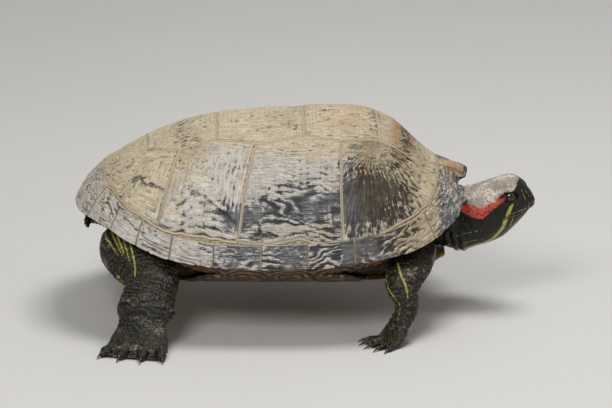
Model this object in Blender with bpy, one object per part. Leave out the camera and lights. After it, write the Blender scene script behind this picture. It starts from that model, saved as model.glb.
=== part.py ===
"""Red-eared slider turtle, a still life-size model of an old adult female.

The carapace is 24 cm long. Each horny plate, limb, eye and jaw is its own
solid. Shapes are worked out in the shell's frame: origin at the middle of the
carapace on the level of its side rim, +X to the head, +Y to the animal's left
and +Z up. An empty carries everything to its place above the floor at z = 0.
"""

import math

import bmesh
import bpy
from mathutils import Matrix, Vector

# ---------------------------------------------------------------- sizes (m)
HALF_LENGTH = 0.120          # carapace, from its middle to its front or rear edge
HALF_WIDTH = 0.089           # carapace, from its middle to its side rim
RIM_HEIGHT = 0.049           # side rim above the floor
SHELL_SHIFT = -0.0217        # shell middle from the middle of the whole animal
FRONT_POWER = 2.9            # roundness of the outline ahead of the middle
REAR_POWER = 2.4             # and behind it
DOME_POWER = 2.8             # roundness of a cross-section of the dome
GAP = 0.0004                 # between two pieces that meet
PLATE = 0.0030               # thickness of the carapace plates
PLASTRON = 0.0035            # thickness of the plastron plates
PLASTRON_LEVEL = -0.0210     # underside of the plastron
TRUNK_CLEARANCE = 0.0012     # from the inside of the plates to the trunk
FACET = 0.012                # length of the steps along a plate's edge

# Height of the carapace along its ridge, by u = x / HALF_LENGTH.
RIDGE = ((-1.0, 0.0210), (-0.886, 0.0386), (-0.68, 0.0540), (-0.37, 0.0682),
         (0.0, 0.0728), (0.41, 0.0750), (0.62, 0.0678), (0.80, 0.0484),
         (0.88, 0.0420), (1.0, 0.0370))
# Height of the rim, by the angle round it in degrees, 0 at the front.
RIM = ((0, 0.0360), (8, 0.0300), (15, 0.0240), (30, 0.0175), (50, 0.0085),
       (90, 0.0), (115, 0.0040), (132, 0.0125), (148, 0.0200), (180, 0.0210))

# Seams between the marginal plates, by u on the rim, front to rear.
NUCHAL_HALF_WIDTH = 0.0055
MARGINAL_SEAMS = (0.984, 0.839, 0.657, 0.434, 0.195, -0.044, -0.288, -0.51,
                  -0.68, -0.81, -0.93, -1.0)
# Corners of the ridge plates, (u, y); the plates beside them share these.
CORNERS = ((0.55, 0.035), (0.37, 0.041), (0.17, 0.0355), (-0.06, 0.0405),
           (-0.28, 0.033), (-0.46, 0.035), (-0.64, 0.023))
PLEURAL_FEET = (0.37, -0.17, -0.60)      # u where pleural seams reach the marginals
SHOULDER_SEAM, RUMP_SEAM = 0.984, -0.81  # u where ridge plates reach the marginals

# ---------------------------------------------------------------- finishes
FINISHES = {
    "carapace": ((0.36, 0.32, 0.25), 0.62),
    "plastron": ((0.62, 0.42, 0.12), 0.50),
    "skin": ((0.045, 0.050, 0.040), 0.45),
    "beak": ((0.10, 0.10, 0.06), 0.35),
    "eye": ((0.02, 0.02, 0.015), 0.08),
}


# ---------------------------------------------------------------- helpers
def clear_scene():
    """Remove whatever the scene holds."""
    for obj in list(bpy.data.objects):
        bpy.data.objects.remove(obj, do_unlink=True)


def finish(name):
    """The Principled material of one finish."""
    material = bpy.data.materials.get(name)
    if material is None:
        colour, roughness = FINISHES[name]
        material = bpy.data.materials.new(name)
        material.use_nodes = True
        shader = material.node_tree.nodes["Principled BSDF"]
        shader.inputs["Base Color"].default_value = (*colour, 1.0)
        shader.inputs["Roughness"].default_value = roughness
        shader.inputs["Metallic"].default_value = 0.0
    return material


def along(table, t):
    """Smooth value at t of a table of (t, value) pairs."""
    last = len(table) - 2
    i = next((k for k in range(last) if t < table[k + 1][0]), last)
    (t0, a), (t1, b) = table[i], table[i + 1]
    before = table[max(i - 1, 0)]
    after = table[min(i + 2, last + 1)]
    slope_a = (b - before[1]) / (t1 - before[0])
    slope_b = (after[1] - a) / (after[0] - t0)
    s = min(max((t - t0) / (t1 - t0), 0.0), 1.0)
    step = t1 - t0
    return ((2 * s**3 - 3 * s**2 + 1) * a + (s**3 - 2 * s**2 + s) * step * slope_a
            + (3 * s**2 - 2 * s**3) * b + (s**3 - s**2) * step * slope_b)


def ease(low, high, value):
    """0 below low, 1 above high and a smooth step between."""
    t = min(max((value - low) / (high - low), 0.0), 1.0)
    return t * t * (3 - 2 * t)


def solid(name, points, faces, material, parent, origin=None):
    """A closed mesh object whose own origin lies at the given point."""
    origin = sum(points, Vector()) / len(points) if origin is None else Vector(origin)
    mesh = bpy.data.meshes.new(name)
    mesh.from_pydata([p - origin for p in points], [], faces)
    mesh.materials.append(finish(material))
    shape = bmesh.new()
    shape.from_mesh(mesh)
    bmesh.ops.triangulate(shape, faces=shape.faces, quad_method="FIXED")
    bmesh.ops.recalc_face_normals(shape, faces=shape.faces)
    if shape.calc_volume(signed=True) < 0:
        bmesh.ops.reverse_faces(shape, faces=shape.faces)
    shape.to_mesh(mesh)
    shape.free()
    mesh.shade_smooth()
    mesh.set_sharp_from_angle(angle=math.radians(35))
    obj = bpy.data.objects.new(name, mesh)
    bpy.context.scene.collection.objects.link(obj)
    obj.location = origin
    obj.parent = parent
    return obj


def loft(rings, ladder=False):
    """Points and faces of a closed skin over rings of equal count.

    An end is closed by a fan, or by a ladder of quads across a flat ring whose
    second half runs back over its first.
    """
    count = len(rings[0])
    points = [p for ring in rings for p in ring]
    faces = []
    for r in range(len(rings) - 1):
        for i in range(count):
            j = (i + 1) % count
            faces.append((r * count + i, r * count + j,
                          (r + 1) * count + j, (r + 1) * count + i))
    for ring, start in ((rings[0], 0), (rings[-1], len(points) - count)):
        if ladder:
            faces += [(start + i, start + i + 1, start + count - 2 - i, start + count - 1 - i)
                      for i in range(count // 2 - 1)]
            continue
        middle = len(points)
        points.append(sum(ring, Vector()) / count)
        faces += [(start + i, start + (i + 1) % count, middle) for i in range(count)]
    return points, faces


def guide(obj):
    """Mark an object as a cutter or a shape that another piece takes in."""
    obj.hide_render = True
    obj.display_type = "WIRE"
    return obj


def combine(obj, other, operation):
    """Cut another object from this one, or join it on."""
    modifier = obj.modifiers.new(operation.title(), "BOOLEAN")
    modifier.operation = operation
    modifier.solver = "EXACT"
    modifier.object = other


# ---------------------------------------------------------------- shell form
def power(u):
    """Power of the outline's curve, ahead of the middle or behind it."""
    return FRONT_POWER if u >= 0 else REAR_POWER


def half_width(u):
    """Half width of the carapace at u."""
    p = power(u)
    return HALF_WIDTH * max(1 - abs(u) ** p, 0.0) ** (1 / p)


def rim_angle(u):
    """Angle round the rim, in degrees, of the rim's point at u."""
    return math.degrees(math.acos(math.copysign(abs(u) ** (power(u) / 2), u)))


def rim_point(angle):
    """The left rim's point at an angle; a negative angle gives the right rim."""
    a = math.radians(abs(angle))
    p = power(math.cos(a))
    x = math.copysign(HALF_LENGTH * abs(math.cos(a)) ** (2 / p), math.cos(a))
    y = math.copysign(HALF_WIDTH * math.sin(a) ** (2 / p), angle)
    return Vector((x, y, along(RIM, abs(angle))))


def rim_frame(angle):
    """Directions along the rim and out of it, level with the floor."""
    step = 0.5
    low, high = max(angle - step, -180.0), min(angle + step, 180.0)
    tangent = rim_point(high) - rim_point(low)
    tangent.z = 0
    tangent.normalize()
    return tangent, Vector((tangent.y, -tangent.x, 0))


def dome(x, y):
    """Point on the outside of the carapace above (x, y)."""
    u = max(-1.0, min(1.0, x / HALF_LENGTH))
    v = min(abs(y) / max(half_width(u), 1e-6), 1.0)
    rim = along(RIM, rim_angle(u))
    return Vector((x, y, rim + (along(RIDGE, u) - rim) * (1 - v**DOME_POWER)))


def dome_normal(x, y):
    """Direction out of the carapace above (x, y)."""
    step = 0.001
    dx = dome(x + step, y).z - dome(x - step, y).z
    dy = dome(x, y + step).z - dome(x, y - step).z
    return Vector((-dx / (2 * step), -dy / (2 * step), 1)).normalized()


def seam_depth(angle):
    """Width of the marginal plates, in from the rim; widest at front and rear."""
    return 0.0062 + 0.0100 * math.cos(math.radians(angle)) ** 4


def under_depth(angle):
    """How far in from the rim the marginals' undersides reach."""
    return max(0.0130, seam_depth(angle) + 0.0035)


def seam_point(angle):
    """Plan point where the marginals meet the plates above them."""
    _, out = rim_frame(angle)
    return rim_point(angle) - out * seam_depth(angle)


# ---------------------------------------------------------------- carapace
def edge(start, end):
    """Plan points from start up to, not including, end."""
    steps = max(1, math.ceil((end - start).length / FACET))
    return [start.lerp(end, i / steps) for i in range(steps)]


def seam_run(first, last):
    """Plan points along the marginals' seam between two rim angles."""
    length = (seam_point(last) - seam_point(first)).length
    steps = max(1, math.ceil(length / FACET))
    return [seam_point(first + (last - first) * i / steps) for i in range(steps)]


def shrink(outline, amount):
    """The outline moved inward all round by a small amount."""
    area = sum(a.x * b.y - b.x * a.y for a, b in zip(outline, outline[1:] + outline[:1]))
    sign = 1 if area > 0 else -1
    moved = []
    for i, point in enumerate(outline):
        before = (point - outline[i - 1]).to_2d().normalized()
        after = (outline[(i + 1) % len(outline)] - point).to_2d().normalized()
        normals = [Vector((-d.y, d.x)) * sign for d in (before, after)]
        shift = (normals[0] + normals[1]) / max(1 + normals[0].dot(normals[1]), 0.3)
        moved.append(point + shift.to_3d() * amount)
    return moved


def plate(name, outline, focus, parent, rings=3):
    """A curved plate of the carapace over a plan outline."""
    outline = shrink([Vector((p.x, p.y, 0)) for p in outline], GAP / 2)
    focus = Vector((focus[0], focus[1], 0))
    count = len(outline)
    plan = [focus] + [focus.lerp(p, k / rings) for k in range(1, rings + 1) for p in outline]
    top = [dome(p.x, p.y) for p in plan]
    bottom = [t - dome_normal(p.x, p.y) * PLATE for p, t in zip(plan, top)]
    faces = []
    for base in (0, len(plan)):
        for i in range(count):
            j = (i + 1) % count
            faces.append((base, base + 1 + i, base + 1 + j))
            for k in range(rings - 1):
                a = base + 1 + k * count
                faces.append((a + i, a + j, a + count + j, a + count + i))
    last = 1 + (rings - 1) * count
    for i in range(count):
        j = (i + 1) % count
        faces.append((last + i, last + j, len(plan) + last + j, len(plan) + last + i))
    return solid(name, top + bottom, faces, "carapace", parent, top[0])


def corner(index):
    """Plan point of one corner on the left side."""
    u, y = CORNERS[index]
    return Vector((u * HALF_LENGTH, y, 0))


def mirror_run(points):
    """The run of plan points seen in the animal's midline, in reverse order."""
    return [Vector((p.x, -p.y, 0)) for p in reversed(points)]


def close_across(left):
    """A whole outline from its left half, which may end on the midline."""
    right = mirror_run(left)
    outline = list(left)
    if left[-1].y > FACET / 4:
        outline += edge(left[-1], right[0])[1:] + right
    else:
        outline += right[1:]
    if left[0].y > FACET / 4:
        return outline + edge(right[-1], left[0])[1:]
    return outline[:-1]


def vertebral_plates(parent):
    """The five plates along the ridge."""
    shoulder, rump = rim_angle(SHOULDER_SEAM), rim_angle(RUMP_SEAM)
    marks = [corner(i) for i in range(len(CORNERS))]
    halves = [seam_run(0.0, shoulder) + edge(seam_point(shoulder), marks[0]) + [marks[0]]]
    for first in (0, 2, 4):
        halves.append(edge(marks[first], marks[first + 1])
                      + edge(marks[first + 1], marks[first + 2]) + [marks[first + 2]])
    halves.append(edge(marks[6], seam_point(rump)) + seam_run(rump, 180.0)
                  + [seam_point(180.0)])
    for number, left in enumerate(halves, 1):
        outline = close_across(left)
        middle = sum(outline, Vector()) / len(outline)
        plate(f"vertebral_{number}", outline, (middle.x, 0.0), parent)


def pleural_plates(parent):
    """The four plates on each flank."""
    shoulder, rump = rim_angle(SHOULDER_SEAM), rim_angle(RUMP_SEAM)
    feet = [shoulder] + [rim_angle(u) for u in PLEURAL_FEET] + [rump]
    upper = {
        1: [seam_point(shoulder), corner(0), corner(1)],
        2: [corner(1), corner(2), corner(3)],
        3: [corner(3), corner(4), corner(5)],
        4: [corner(5), corner(6), seam_point(rump)],
    }
    for number, marks in upper.items():
        front, rear = feet[number - 1], feet[number]
        outline = edge(marks[0], marks[1]) + edge(marks[1], marks[2])
        if number < 4:
            outline += edge(marks[2], seam_point(rear))
        lower = seam_run(front, rear)
        outline += [seam_point(rear)] + list(reversed(lower))
        if number == 1:
            outline = outline[:-1]
        else:
            outline += edge(seam_point(front), marks[0])[1:]
        for side, word in ((1, "left"), (-1, "right")):
            turned = [Vector((p.x, side * p.y, 0)) for p in outline]
            middle = sum(turned, Vector()) / len(turned)
            plate(f"pleural_{word}_{number}", turned, (middle.x, middle.y), parent)


def marginal_section(angle, drop, lip=0.0, grow=0.0):
    """Cross-section of the rim: seam, crown, edge, undercut and inner face."""
    rim = rim_point(angle)
    _, out = rim_frame(angle)
    up = Vector((0, 0, 1))
    depth = seam_depth(angle) - GAP / 2
    seam = rim - out * depth
    seam = dome(seam.x, seam.y)
    crown = rim - out * depth * 0.45
    crown = dome(crown.x, crown.y) + up * lip
    normal = dome_normal(seam.x, seam.y)
    normal = (out * normal.dot(out) + up * normal.z).normalized()
    low_edge = rim - out * 0.0012 - up * 0.0016
    under = rim - out * under_depth(angle)
    under.z = rim.z + drop
    inner = seam - normal * PLATE
    rim = rim + out * lip * 0.5 + up * lip
    return [seam + normal * grow, crown + (out + up) * grow, rim + out * grow,
            low_edge + (out - up) * grow, under - (out + up) * grow,
            inner - (out + up) * grow]


def rim_drop(angle):
    """How far the inner edge of the underside lies below the rim."""
    u = rim_point(angle).x / HALF_LENGTH
    on_bridge = ease(-0.56, -0.44, u) * (1 - ease(0.58, 0.70, u))
    return -0.0015 - 0.0072 * on_bridge


def marginal(name, first, last, parent, lip=0.0, steps=3):
    """One plate of the rim between two rim angles."""
    rings = []
    for i in range(steps + 1):
        angle = first + (last - first) * i / steps
        ring = marginal_section(angle, rim_drop(angle), lip)
        if i in (0, steps):
            tangent, _ = rim_frame(angle)
            inward = (1 if i == 0 else -1) * math.copysign(1, last - first)
            ring = [p + tangent * inward * GAP / 2 for p in ring]
        rings.append(ring)
    points, faces = loft(rings)
    return solid(name, points, faces, "carapace", parent)


def marginal_plates(parent):
    """Twelve rim plates on each side, and the nuchal plate between the first."""
    nuchal = next(a / 10 for a in range(1, 300)
                  if rim_point(a / 10).y >= NUCHAL_HALF_WIDTH)
    marginal("nuchal", -nuchal, nuchal, parent, lip=0.0030, steps=2)
    angles = [nuchal] + [rim_angle(u) for u in MARGINAL_SEAMS]
    for side, word in ((1, "left"), (-1, "right")):
        for i in range(12):
            marginal(f"marginal_{word}_{i + 1}", side * angles[i], side * angles[i + 1], parent)


def rim_band(parent, grow):
    """The whole rim as one ring a little larger, to keep flesh clear of it."""
    rings = []
    for i in range(72):
        angle = -180.0 + 5.0 * (i + 0.5)
        rings.append(marginal_section(angle, rim_drop(angle), grow=grow))
    count = len(rings[0])
    points = [p for ring in rings for p in ring]
    faces = []
    for r in range(len(rings)):
        s = (r + 1) % len(rings)
        for i in range(count):
            j = (i + 1) % count
            faces.append((r * count + i, r * count + j, s * count + j, s * count + i))
    return guide(solid("rim_clearance", points, faces, "carapace", parent))


# ---------------------------------------------------------------- plastron
FRONT_TIP, REAR_TIP, REAR_NOTCH = 0.1085, -0.1050, -0.0975
BRIDGE_CREASE = 0.0470        # out to here the plastron is level from side to side
BRIDGE_FRONT, BRIDGE_REAR = 0.055, -0.048
# Half width of the two lobes, by x.
LOBES = ((-0.1050, 0.0200), (-0.0950, 0.0400), (-0.0750, 0.0500), (-0.0480, 0.0490),
         (0.0, 0.0480), (0.0550, 0.0475), (0.0750, 0.0440), (0.0950, 0.0330),
         (0.1085, 0.0130))
# Midline seams and the seam's x at the plate's outer edge, front to rear.
PLASTRON_SEAMS = (("gular", 0.0780, 0.0960), ("humeral", 0.0585, 0.0600),
                  ("pectoral", 0.0285, 0.0265), ("abdominal", -0.0295, -0.0460),
                  ("femoral", -0.0595, -0.0720), ("anal", REAR_NOTCH, REAR_TIP))


def bridge_reach(x):
    """Half width of the plastron out along the bridge."""
    out = half_width(x / HALF_LENGTH) - 0.0142
    lobe = along(LOBES, x)
    share = ease(BRIDGE_REAR - 0.004, BRIDGE_REAR + 0.008, x)
    share *= 1 - ease(BRIDGE_FRONT - 0.008, BRIDGE_FRONT + 0.004, x)
    return lobe + (out - lobe) * share


def plastron_floor(x, y):
    """Height of the plastron's underside: lobes turn up, bridges rise outward."""
    level = PLASTRON_LEVEL + 0.0060 * ease(0.065, 0.112, x) + 0.0035 * ease(0.07, 0.11, -x)
    rise = max(abs(y) - BRIDGE_CREASE, 0.0) / 0.030
    return level + 0.0125 * min(rise, 1.0)


def plastron_section(middle_x, edge_x, grow=0.0):
    """Cross-section of the plastron from edge to edge; its ends may slant."""
    reach = bridge_reach(edge_x)
    crease = min(BRIDGE_CREASE, reach * 0.96)
    lower, upper = [], []
    for y in (-reach, -crease, 0.0, crease, reach):
        x = middle_x + (edge_x - middle_x) * abs(y) / reach
        spread = math.copysign(grow, y) if abs(y) == reach else 0.0
        z = plastron_floor(x, y)
        lower.append(Vector((x, y + spread, z - grow)))
        upper.append(Vector((x, y + spread, z + PLASTRON + grow)))
    return lower + upper[::-1]


def plastron_stations(start, start_edge, end, end_edge):
    """Pairs of x at the midline and at the edge, down one plate."""
    steps = max(2, math.ceil((start_edge - end_edge) / 0.013))
    return [(start + (end - start) * i / steps, start_edge + (end_edge - start_edge) * i / steps)
            for i in range(steps + 1)]


def plastron_spans():
    """Name and end stations of each plate pair, front to rear."""
    start, start_edge = FRONT_TIP, FRONT_TIP
    for name, end, end_edge in PLASTRON_SEAMS:
        yield name, (start, start_edge, end, end_edge)
        start, start_edge = end, end_edge


def plastron_plates(parent):
    """Six plate pairs of the plastron."""
    for name, span in plastron_spans():
        stations = plastron_stations(*span)
        rings = [plastron_section(*station) for station in stations]
        for ring, shift in ((rings[0], -GAP / 2), (rings[-1], GAP / 2)):
            for point in ring:
                point.x += shift
        points, faces = loft(rings, ladder=True)
        solid(name, points, faces, "plastron", parent)


def plastron_block(parent, grow):
    """The whole plastron a little larger, to keep flesh clear of it."""
    stations = []
    for _, span in plastron_spans():
        stations += plastron_stations(*span)[1 if stations else 0:]
    rings = [plastron_section(*station, grow) for station in stations]
    for ring, shift in ((rings[0], grow), (rings[-1], -grow)):
        for point in ring:
            point.x += shift
    points, faces = loft(rings, ladder=True)
    return guide(solid("plastron_clearance", points, faces, "plastron", parent))


# ---------------------------------------------------------------- trunk
TRUNK_STATIONS = (-0.097, -0.087, -0.076, -0.063, -0.047, -0.028, -0.008, 0.014,
                  0.035, 0.054, 0.070, 0.084, 0.096)


def inner_corners(angle, inset):
    """Where the trunk's wall starts and ends inside a marginal plate."""
    section = marginal_section(angle, rim_drop(angle))
    _, out = rim_frame(angle)
    inner, under = section[5], section[4]
    normal = (section[0] - inner).normalized()
    return inner - (normal + out) * inset, under - out * inset * 2


def wall_curves(inset):
    """The two edges of the trunk's wall as lists of points, rear to front."""
    pairs = [inner_corners(180.0 - i, inset) for i in range(181)]
    return [pair[0] for pair in pairs], [pair[1] for pair in pairs]


def at_x(curve, x):
    """The curve's point at x; the curve runs rear to front."""
    for a, b in zip(curve, curve[1:]):
        if a.x <= x <= b.x:
            return a.lerp(b, (x - a.x) / (b.x - a.x))
    return min(curve, key=lambda p: abs(p.x - x))


def trunk_ring(x, inset, upper_curve, lower_curve):
    """Cross-section of the trunk, under the plates and down into the plastron."""
    top_edge, low_edge = at_x(upper_curve, x), at_x(lower_curve, x)
    roof = []
    for s in (0.0, 0.22, 0.44, 0.64, 0.82):
        normal = dome_normal(x, top_edge.y * s)
        across = Vector((0, normal.y, normal.z))
        roof.append(dome(x, top_edge.y * s) - across * (PLATE + inset) / across.length_squared)
    roof.append(top_edge)
    lobe = along(LOBES, x) - 0.001 - inset
    level = plastron_floor(x, 0.0) + PLASTRON / 2 + inset
    side = [low_edge, Vector((x, (low_edge.y + lobe) / 2, (low_edge.z + level) / 2)),
            Vector((x, lobe, level)), Vector((x, 0.0, level))]
    left = [Vector((x, p.y, p.z)) for p in roof + side]
    return left + [Vector((x, -p.y, p.z)) for p in reversed(left[1:-1])]


def trunk(name, parent, grow=0.0):
    """The body inside the shell."""
    stations = list(TRUNK_STATIONS)
    stations[0] -= grow
    stations[-1] += grow
    inset = TRUNK_CLEARANCE - grow
    curves = wall_curves(inset)
    points, faces = loft([trunk_ring(x, inset, *curves) for x in stations])
    return solid(name, points, faces, "skin", parent)


# ---------------------------------------------------------------- flesh tubes
def oval(centre, forward, wide, half_wide, half_thick, sides):
    """A ring of points round a centre, square to the forward direction."""
    forward = forward.normalized()
    across = (wide - forward * wide.dot(forward)).normalized()
    thick = forward.cross(across)
    turns = [2 * math.pi * (i + 0.5) / sides for i in range(sides)]
    return [centre + across * half_wide * math.cos(a) + thick * half_thick * math.sin(a)
            for a in turns]


def limb_rings(stations, wide, sides):
    """Rings along stations of (x, y, z, half wide, half thick)."""
    centres = [Vector(s[:3]) for s in stations]
    rings = []
    for i, station in enumerate(stations):
        forward = centres[min(i + 1, len(centres) - 1)] - centres[max(i - 1, 0)]
        rings.append(oval(centres[i], forward, wide, station[3], station[4], sides))
    return rings


def end_direction(stations):
    """Direction in which a limb's last stretch runs."""
    return (Vector(stations[-1][:3]) - Vector(stations[-2][:3])).normalized()


# Legs, root to ankle: x, distance out from the midline, height over the floor,
# half width fore and aft, half thickness.
FORELEG = ((0.0880, 0.0300, 0.0440, 0.0150, 0.0125), (0.0870, 0.0460, 0.0425, 0.0145, 0.0125),
           (0.0848, 0.0600, 0.0405, 0.0130, 0.0115), (0.0824, 0.0705, 0.0385, 0.0118, 0.0098),
           (0.0814, 0.0755, 0.0345, 0.0110, 0.0085), (0.0818, 0.0775, 0.0300, 0.0094, 0.0078),
           (0.0836, 0.0786, 0.0250, 0.0076, 0.0072), (0.0838, 0.0800, 0.0200, 0.0076, 0.0070))
HINDLEG = ((-0.0870, 0.0280, 0.0480, 0.0185, 0.0150), (-0.0850, 0.0440, 0.0465, 0.0198, 0.0160),
           (-0.0785, 0.0590, 0.0435, 0.0195, 0.0148), (-0.0728, 0.0695, 0.0405, 0.0170, 0.0125),
           (-0.0712, 0.0760, 0.0370, 0.0162, 0.0112), (-0.0722, 0.0805, 0.0325, 0.0160, 0.0105),
           (-0.0740, 0.0845, 0.0270, 0.0168, 0.0100), (-0.0755, 0.0880, 0.0210, 0.0182, 0.0098))
# Feet: level direction, in degrees from straight ahead round to the outside,
# and how far the foot is swung forward of the stations above.
FOREFOOT_HEADING = {"right": 148, "left": 84}
HINDFOOT_HEADING = {"right": 104, "left": 96}
FOREFOOT_SWING = {"right": 0.0, "left": 0.004}
HINDFOOT_SWING = {"right": 0.0, "left": 0.005}
LEG_SIDES, TOE_SIDES = 10, 5
# Palm from ankle to knuckles: share of its reach, height as a share of the
# ankle's, width and thickness as shares of the foot's.
PALM = ((0.28, 0.45, 0.78, 1.6), (0.56, 0.16, 0.92, 1.3), (0.80, 0.0, 1.0, 1.0),
        (1.0, 0.0, 0.96, 0.8))
SOLE_PRESS = 0.75            # centre of a palm or toe above the floor, as a share of its radius
FOREFOOT = {"reach": 0.0165, "half_wide": 0.0115, "half_thick": 0.0034}
HINDFOOT = {"reach": 0.0230, "half_wide": 0.0195, "half_thick": 0.0040}
FORETOES = {"lengths": (0.0120, 0.0150, 0.0160, 0.0150, 0.0120), "girth": 0.0021,
            "fan": math.radians(26)}
HINDTOES = {"lengths": (0.0150, 0.0180, 0.0180, 0.0155), "girth": 0.0034,
            "fan": math.radians(20)}


def leg_stations(stations, side, swing):
    """The stations of one leg, its foot swung along x."""
    top, low = stations[0][2], stations[-1][2]
    placed = []
    for x, out, height, half_wide, half_thick in stations:
        reach = (top - height) / (top - low)
        placed.append((x + swing * reach, side * out, height - RIM_HEIGHT,
                       half_wide, half_thick))
    return placed


def toe(name, root, direction, length, girth, parent):
    """One toe with its claw; from its first joint on it rests on the floor."""
    level = Vector((direction.x, direction.y, 0)).normalized()
    tip = root + level * length
    stations = []
    for share, radius in ((0.0, 1.0), (0.40, 0.95), (0.68, 0.70), (0.72, 0.46), (1.0, 0.08)):
        point = root.lerp(tip, share)
        if share > 0:
            point.z = girth * radius * SOLE_PRESS - RIM_HEIGHT
        stations.append((*point, girth * radius, girth * radius))
    points, faces = loft(limb_rings(stations, level.cross(Vector((0, 0, 1))), TOE_SIDES))
    return guide(solid(name, points, faces, "skin", parent))


def foot(name, leg, heading, size, toes, floor_block, parent):
    """A foot: palm from the ankle to the knuckles, toes with claws, flat sole."""
    down = end_direction(leg)
    start = Vector(leg[-1][:3]) + down * GAP
    side = math.copysign(1, start.y)
    level = Vector((math.cos(heading), side * math.sin(heading), 0))
    across = Vector((abs(level.y), -level.x * math.copysign(1, level.y), 0))
    floor = -RIM_HEIGHT
    drop = start.z - floor
    rings = [oval(start, down, Vector((1, 0, 0)), leg[-1][3], leg[-1][4], LEG_SIDES)]
    for share, height, wide, thick in PALM:
        centre = start + level * size["reach"] * share
        centre.z = floor + size["half_thick"] * thick * SOLE_PRESS + drop * height
        slant = Vector((0, 0, -1.6 * max(0.8 - share, 0.0)))
        rings.append(oval(centre, level + slant, across, size["half_wide"] * wide,
                          size["half_thick"] * thick, LEG_SIDES))
    points, faces = loft(rings)
    body = solid(name, points, faces, "skin", parent)
    knuckle = start + level * size["reach"] * 0.88
    knuckle.z = floor + size["half_thick"] * 0.72
    last = len(toes["lengths"]) - 1
    for i, length in enumerate(toes["lengths"]):
        t = i / last * 2 - 1
        root = knuckle + across * size["half_wide"] * 0.78 * t
        turn = Matrix.Rotation(toes["fan"] * abs(t), 3, level.cross(across) * math.copysign(1, t))
        digit = toe(f"{name}_toe_{i + 1}", root, turn @ level, length, toes["girth"], parent)
        combine(body, digit, "UNION")
    combine(body, floor_block, "DIFFERENCE")
    return body


# ---------------------------------------------------------------- head
HEAD_BASE = Vector((0.1205, 0.0, 0.0065))
HEAD_YAW, HEAD_ROLL = math.radians(-8), math.radians(8)
# Profile by distance ahead of the base: top, bottom, half width.
HEAD_PROFILE = ((0.0, 0.0190, -0.0192, 0.0195), (0.0100, 0.0232, -0.0160, 0.0188),
                (0.0180, 0.0262, -0.0132, 0.0178), (0.0250, 0.0286, -0.0094, 0.0156),
                (0.0300, 0.0296, -0.0048, 0.0134), (0.0340, 0.0276, -0.0004, 0.0114),
                (0.0380, 0.0236, 0.0044, 0.0090), (0.0410, 0.0200, 0.0084, 0.0066),
                (0.0430, 0.0168, 0.0112, 0.0042))
HEAD_SIDES = 14
EYE_RADIUS = 0.0046
EYE_PLACE = Vector((0.0298, 0.0090, 0.0196))
MOUTH = ((0.0470, 0.0104), (0.0380, 0.0096), (0.0310, 0.0080), (0.0255, 0.0054))
JAW_ROOT = (0.0235, -0.0170)


def head_pose():
    """Placement of the head's own frame in the shell's."""
    turn = Matrix.Rotation(HEAD_YAW, 4, "Z") @ Matrix.Rotation(HEAD_ROLL, 4, "X")
    return Matrix.Translation(HEAD_BASE) @ turn


def head_ring(x, top, bottom, half_wide, sides=HEAD_SIDES):
    """A cross-section of the head: broad above the cheek, narrower below."""
    middle = bottom + (top - bottom) * 0.46
    ring = []
    for i in range(sides):
        a = 2 * math.pi * (i + 0.5) / sides
        c, s = math.cos(a), math.sin(a)
        y = half_wide * math.copysign(abs(c) ** 0.85, c)
        z = middle + (top - middle if s > 0 else middle - bottom) * s
        ring.append(Vector((x, y, z)))
    return ring


def wedge(name, outline, half_wide, parent):
    """A block over an outline in the head's side plane."""
    left = [Vector((x, half_wide, z)) for x, z in outline]
    right = [Vector((x, -half_wide, z)) for x, z in outline]
    points, faces = loft([left, right])
    return guide(solid(name, points, faces, "skin", parent, (0, 0, 0)))


def ball(name, centre, radius, material, parent, segments=10, rings=7):
    """A round ball, its poles to the sides."""
    mesh = bpy.data.meshes.new(name)
    shape = bmesh.new()
    bmesh.ops.create_uvsphere(shape, u_segments=segments, v_segments=rings, radius=radius)
    bmesh.ops.rotate(shape, verts=shape.verts, matrix=Matrix.Rotation(math.pi / 2, 3, "X"))
    shape.to_mesh(mesh)
    shape.free()
    mesh.materials.append(finish(material))
    mesh.shade_smooth()
    obj = bpy.data.objects.new(name, mesh)
    bpy.context.scene.collection.objects.link(obj)
    obj.location = centre
    obj.parent = parent
    return obj


def head_pieces(shell):
    """Head with its sockets, the lower jaw and two eyes, in the head's frame."""
    frame = bpy.data.objects.new("head_frame", None)
    bpy.context.scene.collection.objects.link(frame)
    frame.parent = shell
    frame.location = HEAD_BASE
    frame.rotation_euler = (HEAD_ROLL, 0.0, HEAD_YAW)
    rings = [head_ring(*row) for row in HEAD_PROFILE]
    points, faces = loft(rings)
    head = solid("head", points, faces, "skin", frame, (0, 0, 0))
    jaw = solid("lower_jaw", points, faces, "beak", frame, (0, 0, 0))
    for obj, shift in ((head, GAP / 2), (jaw, -GAP / 2)):
        line = [(x, z + shift) for x, z in MOUTH]
        root = (JAW_ROOT[0] - shift, JAW_ROOT[1])
        outline = [(MOUTH[0][0], -0.03)] + line + [root, (root[0], -0.03)]
        outline[-3] = (outline[-3][0] - shift, outline[-3][1])
        block = wedge(f"{obj.name}_cut", outline, 0.030, frame)
        combine(obj, block, "DIFFERENCE" if obj is head else "INTERSECT")
    for side, word in ((1, "left"), (-1, "right")):
        place = Vector((EYE_PLACE.x, side * EYE_PLACE.y, EYE_PLACE.z))
        ball(f"eye_{word}", place, EYE_RADIUS, "eye", frame)
        socket = ball(f"socket_{word}", place, EYE_RADIUS + GAP, "skin", frame)
        combine(head, guide(socket), "DIFFERENCE")
    return head


# Neck, trunk to head: x, z, half width, half depth.
NECK = ((0.086, 0.0030, 0.0180, 0.0150), (0.097, 0.0062, 0.0195, 0.0165),
        (0.106, 0.0075, 0.0200, 0.0172), (0.1135, 0.0070, 0.0205, 0.0188))
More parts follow.
